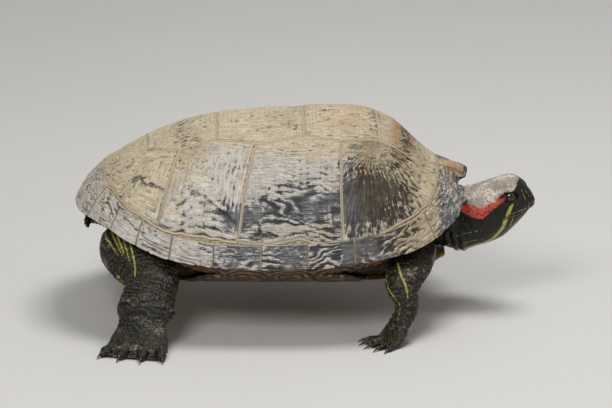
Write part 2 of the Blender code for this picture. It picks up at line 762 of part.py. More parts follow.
# Tail, trunk to tip: x, y, z, radius.
TAIL = ((-0.088, 0.0, 0.0060, 0.0110), (-0.098, 0.0, 0.0078, 0.0095),
        (-0.106, -0.003, 0.0092, 0.0068), (-0.1115, -0.009, 0.0095, 0.0044),
        (-0.1135, -0.016, 0.0080, 0.0026), (-0.1125, -0.0215, 0.0060, 0.0011))


def neck(parent):
    """The neck, its last ring square to the head."""
    rings = []
    for x, z, half_wide, half_deep in NECK:
        rings.append(head_ring(x, z + half_deep, z - half_deep, half_wide))
    pose = head_pose()
    _, top, bottom, half_wide = HEAD_PROFILE[0]
    rings.append([pose @ p for p in head_ring(-GAP, top, bottom, half_wide)])
    points, faces = loft(rings)
    return solid("neck", points, faces, "skin", parent)


def tail(parent):
    """The tail, curled to the right under the rear rim."""
    stations = [(x, y, z, r, r * 0.85) for x, y, z, r in TAIL]
    points, faces = loft(limb_rings(stations, Vector((0, 0, 1)), 10))
    return solid("tail", points, faces, "skin", parent)


def floor_cutter(parent):
    """A block under the floor, which flattens the soles."""
    corners = [Vector((x, y, z)) for z in (-2 * RIM_HEIGHT, -RIM_HEIGHT)
               for x, y in ((-0.3, -0.3), (0.3, -0.3), (0.3, 0.3), (-0.3, 0.3))]
    points, faces = loft([corners[:4], corners[4:]])
    return guide(solid("floor_block", points, faces, "skin", parent, (0, 0, -RIM_HEIGHT)))


def build():
    """Every piece of the turtle."""
    clear_scene()
    shell = bpy.data.objects.new("shell_frame", None)
    bpy.context.scene.collection.objects.link(shell)
    shell.location = (SHELL_SHIFT, 0.0, RIM_HEIGHT)
    vertebral_plates(shell)
    pleural_plates(shell)
    marginal_plates(shell)
    plastron_plates(shell)
    shell_clearances = [rim_band(shell, GAP), plastron_block(shell, GAP)]
    combine(trunk("trunk", shell), shell_clearances[1], "DIFFERENCE")
    clearances = [guide(trunk("trunk_clearance", shell, GAP)), *shell_clearances]
    flesh = [neck(shell), tail(shell)]
    head_pieces(shell)
    floor_block = floor_cutter(shell)
    for side, word in ((-1, "right"), (1, "left")):
        fore = leg_stations(FORELEG, side, FOREFOOT_SWING[word])
        hind = leg_stations(HINDLEG, side, HINDFOOT_SWING[word])
        for name, stations in (("foreleg", fore), ("hindleg", hind)):
            points, faces = loft(limb_rings(stations, Vector((1, 0, 0)), LEG_SIDES))
            flesh.append(solid(f"{name}_{word}", points, faces, "skin", shell))
        foot(f"forefoot_{word}", fore, math.radians(FOREFOOT_HEADING[word]), FOREFOOT,
             FORETOES, floor_block, shell)
        foot(f"hindfoot_{word}", hind, math.radians(HINDFOOT_HEADING[word]), HINDFOOT,
             HINDTOES, floor_block, shell)
    for piece in flesh:
        for block in clearances:
            combine(piece, block, "DIFFERENCE")


build()
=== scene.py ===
"""Looks of a red-eared slider turtle: a still, life-size model of an old female.

Shapes are worked out in the shell's frame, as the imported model's: origin at the
middle of the carapace on the level of its side rim, +X to the head, +Y to the
animal's left, +Z up. place() carries them to the row frame.
"""
import math

import bmesh
import bpy
import numpy as np
from mathutils import Matrix, Vector
from mathutils.bvhtree import BVHTree
from mathutils.kdtree import KDTree


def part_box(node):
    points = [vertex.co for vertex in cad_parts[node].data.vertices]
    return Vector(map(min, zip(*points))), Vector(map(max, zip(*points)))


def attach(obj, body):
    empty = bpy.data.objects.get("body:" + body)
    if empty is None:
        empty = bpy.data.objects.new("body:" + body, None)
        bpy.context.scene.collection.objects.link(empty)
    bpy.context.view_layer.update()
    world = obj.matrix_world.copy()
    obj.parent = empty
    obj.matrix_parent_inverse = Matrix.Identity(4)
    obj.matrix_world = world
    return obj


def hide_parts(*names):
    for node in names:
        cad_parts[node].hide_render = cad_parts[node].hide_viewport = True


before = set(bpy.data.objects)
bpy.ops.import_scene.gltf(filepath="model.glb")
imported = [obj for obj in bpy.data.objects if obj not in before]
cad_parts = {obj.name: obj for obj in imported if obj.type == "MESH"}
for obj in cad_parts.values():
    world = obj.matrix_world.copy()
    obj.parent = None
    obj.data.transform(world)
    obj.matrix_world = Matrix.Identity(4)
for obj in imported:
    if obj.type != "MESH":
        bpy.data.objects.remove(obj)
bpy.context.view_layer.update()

bl_info = {
    "name": "Slider Turtle",
    "version": (1, 0, 0),
    "blender": (4, 5, 0),
    "location": "3D View > Sidebar > Turtle",
    "description": "Builds the plates, skin, scales, claws and eyes of a slider turtle",
    "category": "Add Mesh",
}

# ---- shell sizes (m) ----
HALF_LENGTH = 0.120          # carapace, from its middle to its front or rear edge
HALF_WIDTH = 0.089           # carapace, from its middle to its side rim
FRONT_POWER, REAR_POWER = 2.9, 2.4
DOME_POWER = 2.8
RIDGE = ((-1.0, 0.0210), (-0.886, 0.0386), (-0.68, 0.0540), (-0.37, 0.0682),
         (0.0, 0.0728), (0.41, 0.0750), (0.62, 0.0678), (0.80, 0.0484),
         (0.88, 0.0420), (1.0, 0.0370))
RIM = ((0, 0.0360), (8, 0.0300), (15, 0.0240), (30, 0.0175), (50, 0.0085),
       (90, 0.0), (115, 0.0040), (132, 0.0125), (148, 0.0200), (180, 0.0210))
NUCHAL_HALF_WIDTH = 0.0055
MARGINAL_SEAMS = (0.984, 0.839, 0.657, 0.434, 0.195, -0.044, -0.288, -0.51,
                  -0.68, -0.81, -0.93, -1.0)
CORNERS = ((0.55, 0.035), (0.37, 0.041), (0.17, 0.0355), (-0.06, 0.0405),
           (-0.28, 0.033), (-0.46, 0.035), (-0.64, 0.023))
PLEURAL_FEET = (0.37, -0.17, -0.60)
SHOULDER_SEAM, RUMP_SEAM = 0.984, -0.81
PLASTRON_LEVEL = -0.0210

# The shell frame's origin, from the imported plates.
SHELL_ORIGIN = np.array([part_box("marginal_left_12")[0].x + HALF_LENGTH, 0.0,
                         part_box("abdominal")[0].z - PLASTRON_LEVEL])

SIDES = ((1, "left"), (-1, "right"))


# ---- settings ----
class ShellSettings(bpy.types.PropertyGroup):
    """Sizes of the plates' relief."""

    step: bpy.props.FloatProperty(
        name="Step", description="Distance between the points of a plate's mesh",
        default=0.0008, min=0.0003, subtype="DISTANCE", unit="LENGTH")
    seam: bpy.props.FloatProperty(
        name="Seam", description="Width of the gap between two plates",
        default=0.00030, min=0.0, subtype="DISTANCE", unit="LENGTH")
    thickness: bpy.props.FloatProperty(
        name="Thickness", description="Thickness of a plate",
        default=0.0016, min=0.0005, subtype="DISTANCE", unit="LENGTH")
    rings: bpy.props.FloatProperty(
        name="Growth rings", description="Height of the growth rings",
        default=0.00080, min=0.0, subtype="DISTANCE", unit="LENGTH")
    rugae: bpy.props.FloatProperty(
        name="Wrinkles", description="Height of the wrinkles that fan out over a plate",
        default=0.00085, min=0.0, subtype="DISTANCE", unit="LENGTH")
    silt: bpy.props.FloatVectorProperty(
        name="Silt", description="Colour of the dried silt on the shell",
        default=(0.66, 0.56, 0.385), size=3, min=0.0, max=1.0, subtype="COLOR")
    slate: bpy.props.FloatVectorProperty(
        name="Slate", description="Colour of the bare horn low on the flanks",
        default=(0.160, 0.164, 0.178), size=3, min=0.0, max=1.0, subtype="COLOR")


# ---- numbers ----
def along(table, t):
    """Smooth values at t of a table of rows (t, value, ...)."""
    rows = np.array(table, float)
    t = np.asarray(t, float)
    xs, ys = rows[:, 0], rows[:, 1:]
    i = np.clip(np.searchsorted(xs, t, side="right") - 1, 0, len(xs) - 2)
    before, after = np.maximum(i - 1, 0), np.minimum(i + 2, len(xs) - 1)
    step = (xs[i + 1] - xs[i])[..., None]
    slope_a = (ys[i + 1] - ys[before]) / (xs[i + 1] - xs[before])[..., None]
    slope_b = (ys[after] - ys[i]) / (xs[after] - xs[i])[..., None]
    s = np.clip((t[..., None] - xs[i][..., None]) / step, 0, 1)
    value = ((2 * s**3 - 3 * s**2 + 1) * ys[i] + (s**3 - 2 * s**2 + s) * step * slope_a
             + (3 * s**2 - 2 * s**3) * ys[i + 1] + (s**3 - s**2) * step * slope_b)
    return value[..., 0] if value.shape[-1] == 1 else value


def ease(low, high, value):
    """0 below low, 1 above high and a smooth step between."""
    t = np.clip((value - low) / (high - low), 0.0, 1.0)
    return t * t * (3 - 2 * t)


def scatter(i, j, k, seed):
    """A repeatable random number from 0 to 1 for each lattice point."""
    n = (i * 374761393 + j * 668265263 + k * 1274126177 + seed * 974634777) & 0xFFFFFFFF
    n = ((n ^ (n >> 13)) * 1103515245) & 0xFFFFFFFF
    n = ((n ^ (n >> 15)) * 2654435761) & 0xFFFFFFFF
    return (n ^ (n >> 16)) / 0xFFFFFFFF


def grain(points, size, seed=0):
    """Smooth random field from 0 to 1 whose features are about size across."""
    q = np.asarray(points, float) / np.asarray(size, float)
    base = np.floor(q).astype(np.int64)
    f = q - base
    f = f * f * (3 - 2 * f)
    total = np.zeros(len(q))
    for a in (0, 1):
        for b in (0, 1):
            for c in (0, 1):
                weight = ((f[:, 0] if a else 1 - f[:, 0]) * (f[:, 1] if b else 1 - f[:, 1])
                          * (f[:, 2] if c else 1 - f[:, 2]))
                total += weight * scatter(base[:, 0] + a, base[:, 1] + b, base[:, 2] + c, seed)
    return total


def layered(points, size, octaves=3, seed=0):
    """Several grains added, each half the size and strength of the one before."""
    size = np.asarray(size, float)
    total, weight = 0.0, 0.0
    for octave in range(octaves):
        share = 0.5**octave
        total = total + grain(points, size * share, seed + 31 * octave) * share
        weight += share
    return total / weight


def folds(field):
    """Sharp-crested folds, 0 to 1, from a smooth field."""
    return 1 - np.abs(field * 2 - 1)


def crests(phase):
    """Evenly spread rounded crests, 0 to 1, one for each whole step of the phase."""
    return (0.5 + 0.5 * np.cos(2 * np.pi * phase)) ** 1.3


CREST_MEAN = 0.45            # taken off crests so that they swing about nought


def worn(points, size, low, high, left, seed):
    """Share of the relief that wear has left, from left up to 1, in patches."""
    return left + (1 - left) * ease(low, high, layered(points, size, 2, seed))


def blobs(points, table):
    """Soft patches on the flanks from rows (x, z, reach along x, reach up, weight)."""
    total = np.zeros(len(points))
    for x, z, reach, rise, weight in table:
        total += weight * np.exp(-((points[:, 0] - x) / reach)**2
                                 - ((points[:, 2] - z) / rise)**2)
    return np.clip(total, 0, 1)


def unit(vectors):
    """Vectors scaled to length one."""
    return vectors / np.maximum(np.linalg.norm(vectors, axis=-1, keepdims=True), 1e-12)


# ---- shell form ----
def power(u):
    """Power of the outline's curve, ahead of the middle or behind it."""
    return np.where(u >= 0, FRONT_POWER, REAR_POWER)


def half_width(u):
    """Half width of the carapace at u."""
    return HALF_WIDTH * np.maximum(1 - np.abs(u) ** power(u), 0.0) ** (1 / power(u))


def rim_angle(u):
    """Angle round the rim, in degrees, of the rim's point at u."""
    return np.degrees(np.arccos(np.sign(u) * np.abs(u) ** (power(u) / 2)))


def rim_point(angle):
    """The left rim's points at angles; a negative angle gives the right rim."""
    angle = np.asarray(angle, float)
    a = np.radians(np.abs(angle))
    p = power(np.cos(a))
    x = HALF_LENGTH * np.sign(np.cos(a)) * np.abs(np.cos(a)) ** (2 / p)
    y = HALF_WIDTH * np.sign(angle) * np.abs(np.sin(a)) ** (2 / p)
    return np.stack([x, y, along(RIM, np.abs(angle))], axis=-1)


def rim_frame(angle):
    """Level directions along the rim and out of it."""
    step = 0.5
    tangent = rim_point(np.minimum(angle + step, 180.0)) - rim_point(np.maximum(angle - step, -180.0))
    tangent[..., 2] = 0
    tangent = unit(tangent)
    return tangent, np.stack([tangent[..., 1], -tangent[..., 0], np.zeros_like(angle)], axis=-1)


def dome_height(x, y):
    """Height of the carapace's outside above (x, y)."""
    u = np.clip(x / HALF_LENGTH, -1, 1)
    v = np.clip(np.abs(y) / np.maximum(half_width(u), 1e-6), 0, 1)
    rim = along(RIM, rim_angle(u))
    return rim + (along(RIDGE, u) - rim) * (1 - v**DOME_POWER)


def dome_normal(x, y):
    """Direction out of the carapace above (x, y)."""
    step = 0.001
    dx = (dome_height(x + step, y) - dome_height(x - step, y)) / (2 * step)
    dy = (dome_height(x, y + step) - dome_height(x, y - step)) / (2 * step)
    return unit(np.stack([-dx, -dy, np.ones_like(dx)], axis=-1))


def on_dome(plan):
    """Plan points lifted to the carapace's outside."""
    return np.column_stack([plan, dome_height(*plan.T)])


def seam_depth(angle):
    """Width of the marginal plates, in from the rim."""
    return 0.0062 + 0.0100 * np.cos(np.radians(angle)) ** 4


def under_depth(angle):
    """How far in from the rim the marginals' undersides reach."""
    return np.maximum(0.0130, seam_depth(angle) + 0.0035)


def seam_point(angle):
    """Plan points where the marginals meet the plates above them."""
    angle = np.asarray(angle, float)
    _, out = rim_frame(angle)
    return (rim_point(angle) - out * seam_depth(angle)[..., None])[..., :2]


def rim_drop(angle):
    """How far the inner edge of the underside lies below the rim."""
    u = rim_point(angle)[..., 0] / HALF_LENGTH
    on_bridge = ease(-0.56, -0.44, u) * (1 - ease(0.58, 0.70, u))
    return -0.0015 - 0.0072 * on_bridge


# ---- meshes ----
def place(points):
    """Points of the shell's frame in the row frame."""
    return np.asarray(points) + SHELL_ORIGIN


def outward_mesh(name, points, faces):
    """A mesh whose faces all look outward."""
    mesh = bpy.data.meshes.new(name)
    mesh.from_pydata(points.tolist(), [], [list(face) for face in faces])
    shape = bmesh.new()
    shape.from_mesh(mesh)
    bmesh.ops.recalc_face_normals(shape, faces=shape.faces)
    if shape.calc_volume(signed=True) < 0:
        bmesh.ops.reverse_faces(shape, faces=shape.faces)
    shape.to_mesh(mesh)
    shape.free()
    return mesh


def make_piece(name, points, faces, material, masks=None, slot=None, nodes=()):
    """A closed mesh piece that rides on the body and stands for CAD nodes."""
    mesh = outward_mesh(name, place(points), faces)
    mesh.shade_smooth()
    for key, values in (masks or {}).items():
        kind, field = ("FLOAT_VECTOR", "vector") if np.ndim(values) == 2 else ("FLOAT", "value")
        layer = mesh.attributes.new(key, kind, "POINT")
        layer.data.foreach_set(field, np.asarray(values, np.float32).ravel())
    mesh.materials.append(material)
    obj = bpy.data.objects.new(name, mesh)
    bpy.context.scene.collection.objects.link(obj)
    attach(obj, "root")
    if nodes:
        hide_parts(*nodes)
    return obj


def ring_steps(count):
    """Angles, in radians, of points spread evenly round a ring."""
    return 2 * np.pi * np.arange(count) / count


def run_lengths(points):
    """Length of a run of points from its start to each of them."""
    return np.concatenate([[0.0], np.cumsum(np.linalg.norm(np.diff(points, axis=0), axis=1))])


def grid_faces(rows, columns, closed=False, start=0):
    """Quads of a grid of points, its columns optionally closed to a ring."""
    faces = []
    for r in range(rows - 1):
        for c in range(columns if closed else columns - 1):
            d = (c + 1) % columns
            a, b = start + r * columns, start + (r + 1) * columns
            faces.append((a + c, a + d, b + d, b + c))
    return faces


def closed_grid(grid, ends=None):
    """Points and faces of a grid closed round its columns, with a fan at both ends."""
    rows, columns = grid.shape[:2]
    ends = grid[[0, -1]].mean(axis=1) if ends is None else ends
    count = rows * columns
    faces = grid_faces(rows, columns, True)
    for start, middle in ((0, count), (count - columns, count + 1)):
        faces += [(start + i, start + (i + 1) % columns, middle) for i in range(columns)]
    return np.vstack([grid.reshape(-1, 3), ends]), faces


def merged(parts):
    """Points and faces of several meshes as one."""
    points, faces, start = [], [], 0
    for part_points, part_faces in parts:
        points.append(part_points)
        faces += [tuple(start + i for i in face) for face in part_faces]
        start += len(part_points)
    return np.vstack(points), faces


def surface_tree(points, faces):
    """A surface to cast rays at."""
    return BVHTree.FromPolygons(points.tolist(), faces)


def point_tree(points):
    """A tree that finds the nearest of some points."""
    tree = KDTree(len(points))
    for i, point in enumerate(points):
        tree.insert(point, i)
    tree.balance()
    return tree


# ---- shader helpers ----
COLOUR, VALUE = "NodeSocketColor", "NodeSocketFloat"


def new_node(tree, kind, inputs=None, **settings):
    """A shader node with its settings and input values or links."""
    node = tree.nodes.new(kind)
    for key, value in settings.items():
        setattr(node, key, value)
    for key, value in (inputs or {}).items():
        if isinstance(value, bpy.types.NodeSocket):
            tree.links.new(value, node.inputs[key])
        else:
            solid = node.inputs[key].type == "RGBA"
            node.inputs[key].default_value = (*value, 1.0) if solid else value
    return node


def mask(tree, name):
    """The value of a mesh's mask."""
    return new_node(tree, "ShaderNodeAttribute", attribute_name=name).outputs["Fac"]


def mix(tree, factor, first, second):
    """First colour going to the second."""
    return new_node(tree, "ShaderNodeMix", {0: factor, 6: first, 7: second}, data_type="RGBA").outputs[2]


def mix_values(tree, factor, first, second):
    """First value going to the second."""
    return new_node(tree, "ShaderNodeMix", {0: factor, 2: first, 3: second}, data_type="FLOAT").outputs[0]


def layers(tree, colour, *rows):
    """A colour with others laid over it, each by a mask and a weight."""
    for cover, weight, over in rows:
        cover = cover if weight == 1 else times(tree, cover, weight)
        colour = mix(tree, cover, colour, over)
    return colour


def shaded(colour, *shares):
    """A colour with each channel multiplied by its share, or all of them by one."""
    return tuple(c * share for c, share in zip(colour, shares * (3 // len(shares))))


def between(tree, value, low, high, out_low=0.0, out_high=1.0):
    """A value carried smoothly from one range to another."""
    node = new_node(tree, "ShaderNodeMapRange", {0: value, 1: low, 2: high, 3: out_low, 4: out_high},
                    interpolation_type="SMOOTHSTEP")
    return node.outputs[0]


def plus(tree, value, *others):
    """Values added."""
    for other in others:
        value = new_node(tree, "ShaderNodeMath", {0: value, 1: other}, operation="ADD").outputs[0]
    return value


def times(tree, first, second):
    """Two values multiplied."""
    return new_node(tree, "ShaderNodeMath", {0: first, 1: second}, operation="MULTIPLY").outputs[0]


def swing(tree, value, weight):
    """A value from 0 to 1 as a swing about nought."""
    return times(tree, plus(tree, value, -0.5), weight)


def noise(tree, vector, scale, detail, roughness, distortion=0.0):
    """Noise over a vector, scale in features a metre."""
    return new_node(tree, "ShaderNodeTexNoise", {"Vector": vector, "Scale": scale, "Detail": detail,
                                                 "Roughness": roughness,
                                                 "Distortion": distortion}).outputs[0]


def speckle(tree, scale, detail=4.0, roughness=0.6, stretch=(1.0, 1.0, 1.0)):
    """Noise in object space."""
    place_node = new_node(tree, "ShaderNodeTexCoord")
    turned = new_node(tree, "ShaderNodeMapping", {0: place_node.outputs["Object"], 3: stretch})
    return noise(tree, turned.outputs[0], scale, detail, roughness)


def group_of(name, colours, values, outputs, fill):
    """A shader node group, made once; fill links its colour and value inputs to its outputs."""
    tree = bpy.data.node_groups.get(name)
    if tree is None:
        tree = bpy.data.node_groups.new(name, "ShaderNodeTree")
        for labels, kind in ((colours, COLOUR), (values, VALUE)):
            for label in labels:
                tree.interface.new_socket(label, in_out="INPUT", socket_type=kind)
        for label, kind in outputs:
            tree.interface.new_socket(label, in_out="OUTPUT", socket_type=kind)
        source = tree.nodes.new("NodeGroupInput")
        result = tree.nodes.new("NodeGroupOutput")
        for label, socket in fill(tree, source.outputs).items():
            tree.links.new(socket, result.inputs[label])
    return tree


def new_material(name):
    """An empty material and its Principled shader."""
    material = bpy.data.materials.new(name)
    material.use_nodes = True
    return material, material.node_tree, material.node_tree.nodes["Principled BSDF"]


def connect(tree, shader, **sockets):
    """Link sockets to the shader's inputs, named with underscores for spaces."""
    for key, socket in sockets.items():
        tree.links.new(socket, shader.inputs[key.replace("_", " ")])


def bump_of(tree, height, distance, strength=1.0):
    """Normal from a height."""
    node = new_node(tree, "ShaderNodeBump", {"Height": height, "Distance": distance,
                                             "Strength": strength})
    return node.outputs[0]


def lie_streaks(tree, scale, across, down):
    """Noise drawn out along a plate's own ridges; across and down stretch it."""
    lie = new_node(tree, "ShaderNodeAttribute", attribute_name="lie").outputs["Vector"]
    turned = new_node(tree, "ShaderNodeMapping", {0: lie, 3: (across, across, down)})
    return noise(tree, turned.outputs[0], scale, 5.0, 0.62, 0.9)


def shell_material():
    """Weathered horn, made once: slate to black, a dry film over it, pale seams with a band of painted
    groove shade inside them, painted shade in the relief's hollows and painted highlight on its crests.
    """
    name = "weathered_horn"
    if name in bpy.data.materials:
        return bpy.data.materials[name]
    settings = bpy.context.scene.turtle_shell
    silt, slate = tuple(settings.silt), tuple(settings.slate)
    material, tree, shader = new_material(name)
    patches = speckle(tree, 110.0, 5.0, 0.62)
    fine = speckle(tree, 900.0, 4.0, 0.65)
    fan = lie_streaks(tree, 1050.0, 1.0, 0.20)
    rings = lie_streaks(tree, 800.0, 0.10, 1.0)
    streaks = mix_values(tree, mask(tree, "fanned"), rings, fan)
    relief, umber = mask(tree, "relief"), mask(tree, "umber")
    # Painted light from the relief mask: shade in its hollows, highlight on its crests.
    hollow_shade = between(tree, relief, 0.44, 0.16)
    crest_highlight = between(tree, relief, 0.54, 0.86)

    bark = mix(tree, between(tree, streaks, 0.42, 0.62), (0.024, 0.018, 0.011), (0.125, 0.092, 0.050))
    horn = mix(tree, between(tree, streaks, 0.40, 0.60), shaded(slate, 0.34), shaded(slate, 1.10))
    # Lighter slate on the crests is painted highlight; near-black in the hollows is painted shade.
    horn = layers(tree, horn, (crest_highlight, 0.75, shaded(slate, 1.85)), (umber, 1, bark),
                  (hollow_shade, 0.75, (0.010, 0.009, 0.009)))

    # The film's cover also rises on crests and falls in hollows: partly silt, partly painted highlight and
    # shade of the relief.
    amount = plus(tree, mask(tree, "silt"), swing(tree, streaks, 1.5), swing(tree, fine, 0.7),
                  swing(tree, patches, 0.6), times(tree, crest_highlight, 0.34), times(tree, hollow_shade, -0.34))
    cover = between(tree, amount, 0.27, 0.64)
    tint = plus(tree, mask(tree, "cool"), swing(tree, patches, 1.4))
    grained = plus(tree, streaks, swing(tree, fine, 0.9))
    grime = plus(tree, patches, swing(tree, fine, 0.5))
    film = mix(tree, between(tree, tint, 0.22, 0.85), silt, (0.63, 0.605, 0.575))
    # In the film, the darkening in the relief's hollows is painted shade.
    film = layers(tree, film, (umber, 0.60, (0.40, 0.315, 0.185)),
                  (between(tree, fine, 0.50, 0.72), 0.55, shaded(silt, 0.56, 0.47, 0.38)),
                  (between(tree, grained, 0.52, 0.36), 0.46, shaded(silt, 0.38, 0.345, 0.32)),
                  (between(tree, patches, 0.47, 0.36), 0.34, (0.46, 0.34, 0.17)),
                  (between(tree, grime, 0.54, 0.66), 0.45, shaded(silt, 0.42, 0.40, 0.41)),
                  (hollow_shade, 0.55, shaded(silt, 0.28, 0.25, 0.22)),
                  (between(tree, grained, 0.53, 0.64), 0.55, (0.84, 0.77, 0.62)))

    ochre = times(tree, mask(tree, "ochre"), between(tree, streaks, 0.32, 0.58))
    edge = mask(tree, "edge")
    blotch = plus(tree, mask(tree, "blotch"), swing(tree, patches, 0.3))
    belly = mix(tree, between(tree, blotch, 0.16, 0.30), (0.30, 0.130, 0.027), (0.012, 0.010, 0.008))
    colour = layers(tree, horn, (cover, 0.94, film), (ochre, 1, (0.44, 0.19, 0.050)),
                    # A darker band just inside each plate's pale edge: painted shade of the seam's groove.
                    (between(tree, edge, 0.02, 0.22), 0.50, (0.16, 0.115, 0.07)),
                    (between(tree, edge, 0.45, 0.80), 0.85, (0.66, 0.55, 0.38)),
                    (between(tree, mask(tree, "under"), 0.35, 0.65), 1, belly))

    pits = speckle(tree, 2600.0, 2.0, 0.5)
    height = plus(tree, times(tree, pits, 0.25), streaks, times(tree, fine, 0.45))
    connect(tree, shader, Base_Color=colour, Roughness=mix_values(tree, cover, 0.33, 0.74),
            Normal=bump_of(tree, height, 0.0011, 1.0))
    shader.inputs["Specular IOR Level"].default_value = 0.5
    return material


def bed_material():
    """Pale new horn at the bottom of the seams."""
    material, tree, shader = new_material("seam_horn")
    tone = speckle(tree, 500.0)
    colour = mix(tree, between(tree, tone, 0.35, 0.65), (0.30, 0.23, 0.14), (0.56, 0.47, 0.33))
    connect(tree, shader, Base_Color=colour, Normal=bump_of(tree, tone, 0.0003, 0.5))
    shader.inputs["Roughness"].default_value = 0.85
    return material


# ---- carapace ----
# Patches seen from the side: x, z, reach along x, reach up, weight.
BARE_PATCHES = ((0.021, 0.034, 0.033, 0.0130, 0.76), (-0.018, 0.027, 0.014, 0.0085, 0.60),
                (0.052, 0.036, 0.013, 0.026, 0.50), (0.070, 0.044, 0.022, 0.021, 0.48),
                (0.070, 0.030, 0.020, 0.012, 0.28), (0.090, 0.042, 0.007, 0.014, 0.18),
                (0.066, 0.0705, 0.006, 0.0030, 0.34),
                (0.084, 0.0585, 0.010, 0.0040, 0.40), (-0.052, 0.0640, 0.018, 0.0055, 0.34),
                (0.008, 0.0735, 0.014, 0.0030, 0.24), (0.038, 0.0745, 0.010, 0.0025, 0.20),
                (-0.078, 0.042, 0.010, 0.006, 0.16), (-0.100, 0.033, 0.012, 0.010, 0.15),
                (0.1200, 0.0400, 0.0022, 0.0050, 0.75))
UMBER_PATCHES = ((0.073, 0.042, 0.026, 0.031, 1.3), (0.066, 0.058, 0.012, 0.010, 0.9),
                 (0.084, 0.058, 0.014, 0.010, 0.9), (0.020, 0.0215, 0.030, 0.0030, 0.6),
                 (-0.052, 0.064, 0.018, 0.006, 0.8), (0.010, 0.0735, 0.016, 0.0040, 0.9),
                 (-0.100, 0.036, 0.016, 0.012, 0.6), (0.1175, 0.0400, 0.0045, 0.0050, 1.3))
OCHRE_PATCHES = ((0.0785, 0.0660, 0.0028, 0.0050, 0.85), (0.0600, 0.0560, 0.0007, 0.0060, 0.9),
                 (0.0470, 0.0735, 0.010, 0.0016, 0.45), (0.113, 0.042, 0.007, 0.005, 0.55),
                 (0.086, 0.056, 0.010, 0.0020, 0.35))
COOL_PATCHES = ((0.016, 0.035, 0.036, 0.018, 0.9), (0.052, 0.034, 0.012, 0.022, 0.8),
                (-0.024, 0.060, 0.018, 0.008, 0.45), (-0.036, 0.038, 0.024, 0.018, 0.75),
                (0.018, 0.053, 0.028, 0.009, 0.60),
                (-0.070, 0.020, 0.030, 0.010, 0.75), (0.010, 0.008, 0.060, 0.010, 0.9))
# Old scratches on the right flank: x, z at both ends, depth, half width.
SCRATCHES = ((-0.0510, 0.0420, -0.0380, 0.0378, 0.0007, 0.0008),
             (-0.0400, 0.0384, -0.0300, 0.0320, 0.0011, 0.0008),
             (-0.0320, 0.0330, -0.0200, 0.0245, 0.0009, 0.0009),
             (-0.0830, 0.0440, -0.0735, 0.0420, 0.0008, 0.0007),
             (-0.0760, 0.0425, -0.0640, 0.0408, 0.0011, 0.0008),
             (-0.0400, 0.0265, -0.0398, 0.0215, 0.0008, 0.0005),
             (-0.0030, 0.0375, 0.0060, 0.0330, 0.0009, 0.0007),
             (0.0005, 0.0390, 0.0210, 0.0412, -0.0007, 0.0010),
             (0.0020, 0.0300, -0.0010, 0.0215, -0.0006, 0.0006),
             (0.0600, 0.0350, 0.0560, 0.0270, -0.0004, 0.0005))


def scratch_depth(points):
    """Depth of the old scratches; a ridge is below nought."""
    total = np.zeros(len(points))
    jitter = (layered(points, 0.0030, 2, 91) - 0.5) * 0.0020
    for x0, z0, x1, z1, deep, wide in SCRATCHES:
        span = np.array([x1 - x0, z1 - z0])
        t = ((points[:, 0] - x0) * span[0] + (points[:, 2] - z0) * span[1]) / (span @ span)
        t = np.clip(t, 0, 1)
        near = np.hypot(points[:, 0] - x0 - span[0] * t, points[:, 2] - z0 - span[1] * t) + jitter
        total += deep * np.exp(-(near / wide)**2) * (0.3 + 0.7 * np.sin(np.pi * t) ** 0.5)
    return total * (points[:, 1] < -0.02)


def wander(plan):
    """Plan points moved by a small smooth field, so that shared seams wander alike."""
    lifted = np.column_stack([plan, np.zeros(len(plan))])
    moved = np.array(plan, float)
    for axis in (0, 1):
        broad = grain(lifted, 0.016, 70 + axis) - 0.5
        fine = grain(lifted, 0.0045, 80 + axis) - 0.5
        moved[:, axis] += 0.0022 * broad + 0.0007 * fine
    return moved


def plan_line(points, step):
    """Straight runs between plan points, in short steps, ends included."""
    run = [np.asarray(points[0], float)]
    for start, end in zip(points, points[1:]):
        start, end = np.asarray(start, float), np.asarray(end, float)
        count = max(2, int(np.linalg.norm(end - start) / step))
        run += [start + (end - start) * i / count for i in range(1, count + 1)]
    return run


def seam_line(first, last, step):
    """The marginals' seam between two rim angles."""
    first, last = float(first), float(last)
    length = np.linalg.norm(seam_point(last) - seam_point(first))
    count = max(4, int(length * 1.1 / step))
    return [seam_point(first + (last - first) * i / count) for i in range(count + 1)]


def joined(*runs):
    """Runs put end to end, their shared ends kept once, as one closed outline."""
    points = []
    for run in runs:
        for p in run:
            if not points or np.linalg.norm(p - points[-1]) > 1e-6:
                points.append(p)
    if np.linalg.norm(points[0] - points[-1]) < 1e-6:
        points.pop()
    return np.array(points)


def drawn_in(outline, amount):
    """A closed plan outline moved inward all round."""
    before = unit(outline - np.roll(outline, 1, axis=0))
    after = unit(np.roll(outline, -1, axis=0) - outline)
    x, y = outline.T
    turn = np.sign(np.sum(x * np.roll(y, -1) - np.roll(x, -1) * y))
    normal = (before + after)[:, ::-1] * (-turn, turn)
    return outline + unit(normal) * amount


# Relief of ridge and flank plates.
BROAD_HEIGHT, BROAD_SIZE = 0.0024, 0.024
SWELL_HEIGHT, SWELL_SPACING = 0.00110, 0.0072        # wrinkles low on the flank
ROW_HEIGHT, ROW_SPACING = 0.00042, 0.0036            # finer rows above them
CHIP_DEPTH, CHIP_SIZE = 0.00034, 0.0046
ROLL_DEPTH, ROLL_WIDTH = 0.00042, 0.0013             # rounding of a plate's edge
BORDER_WIDTH = 0.0045                                # calmer strip inside the edge
DEEPEST = -0.0011


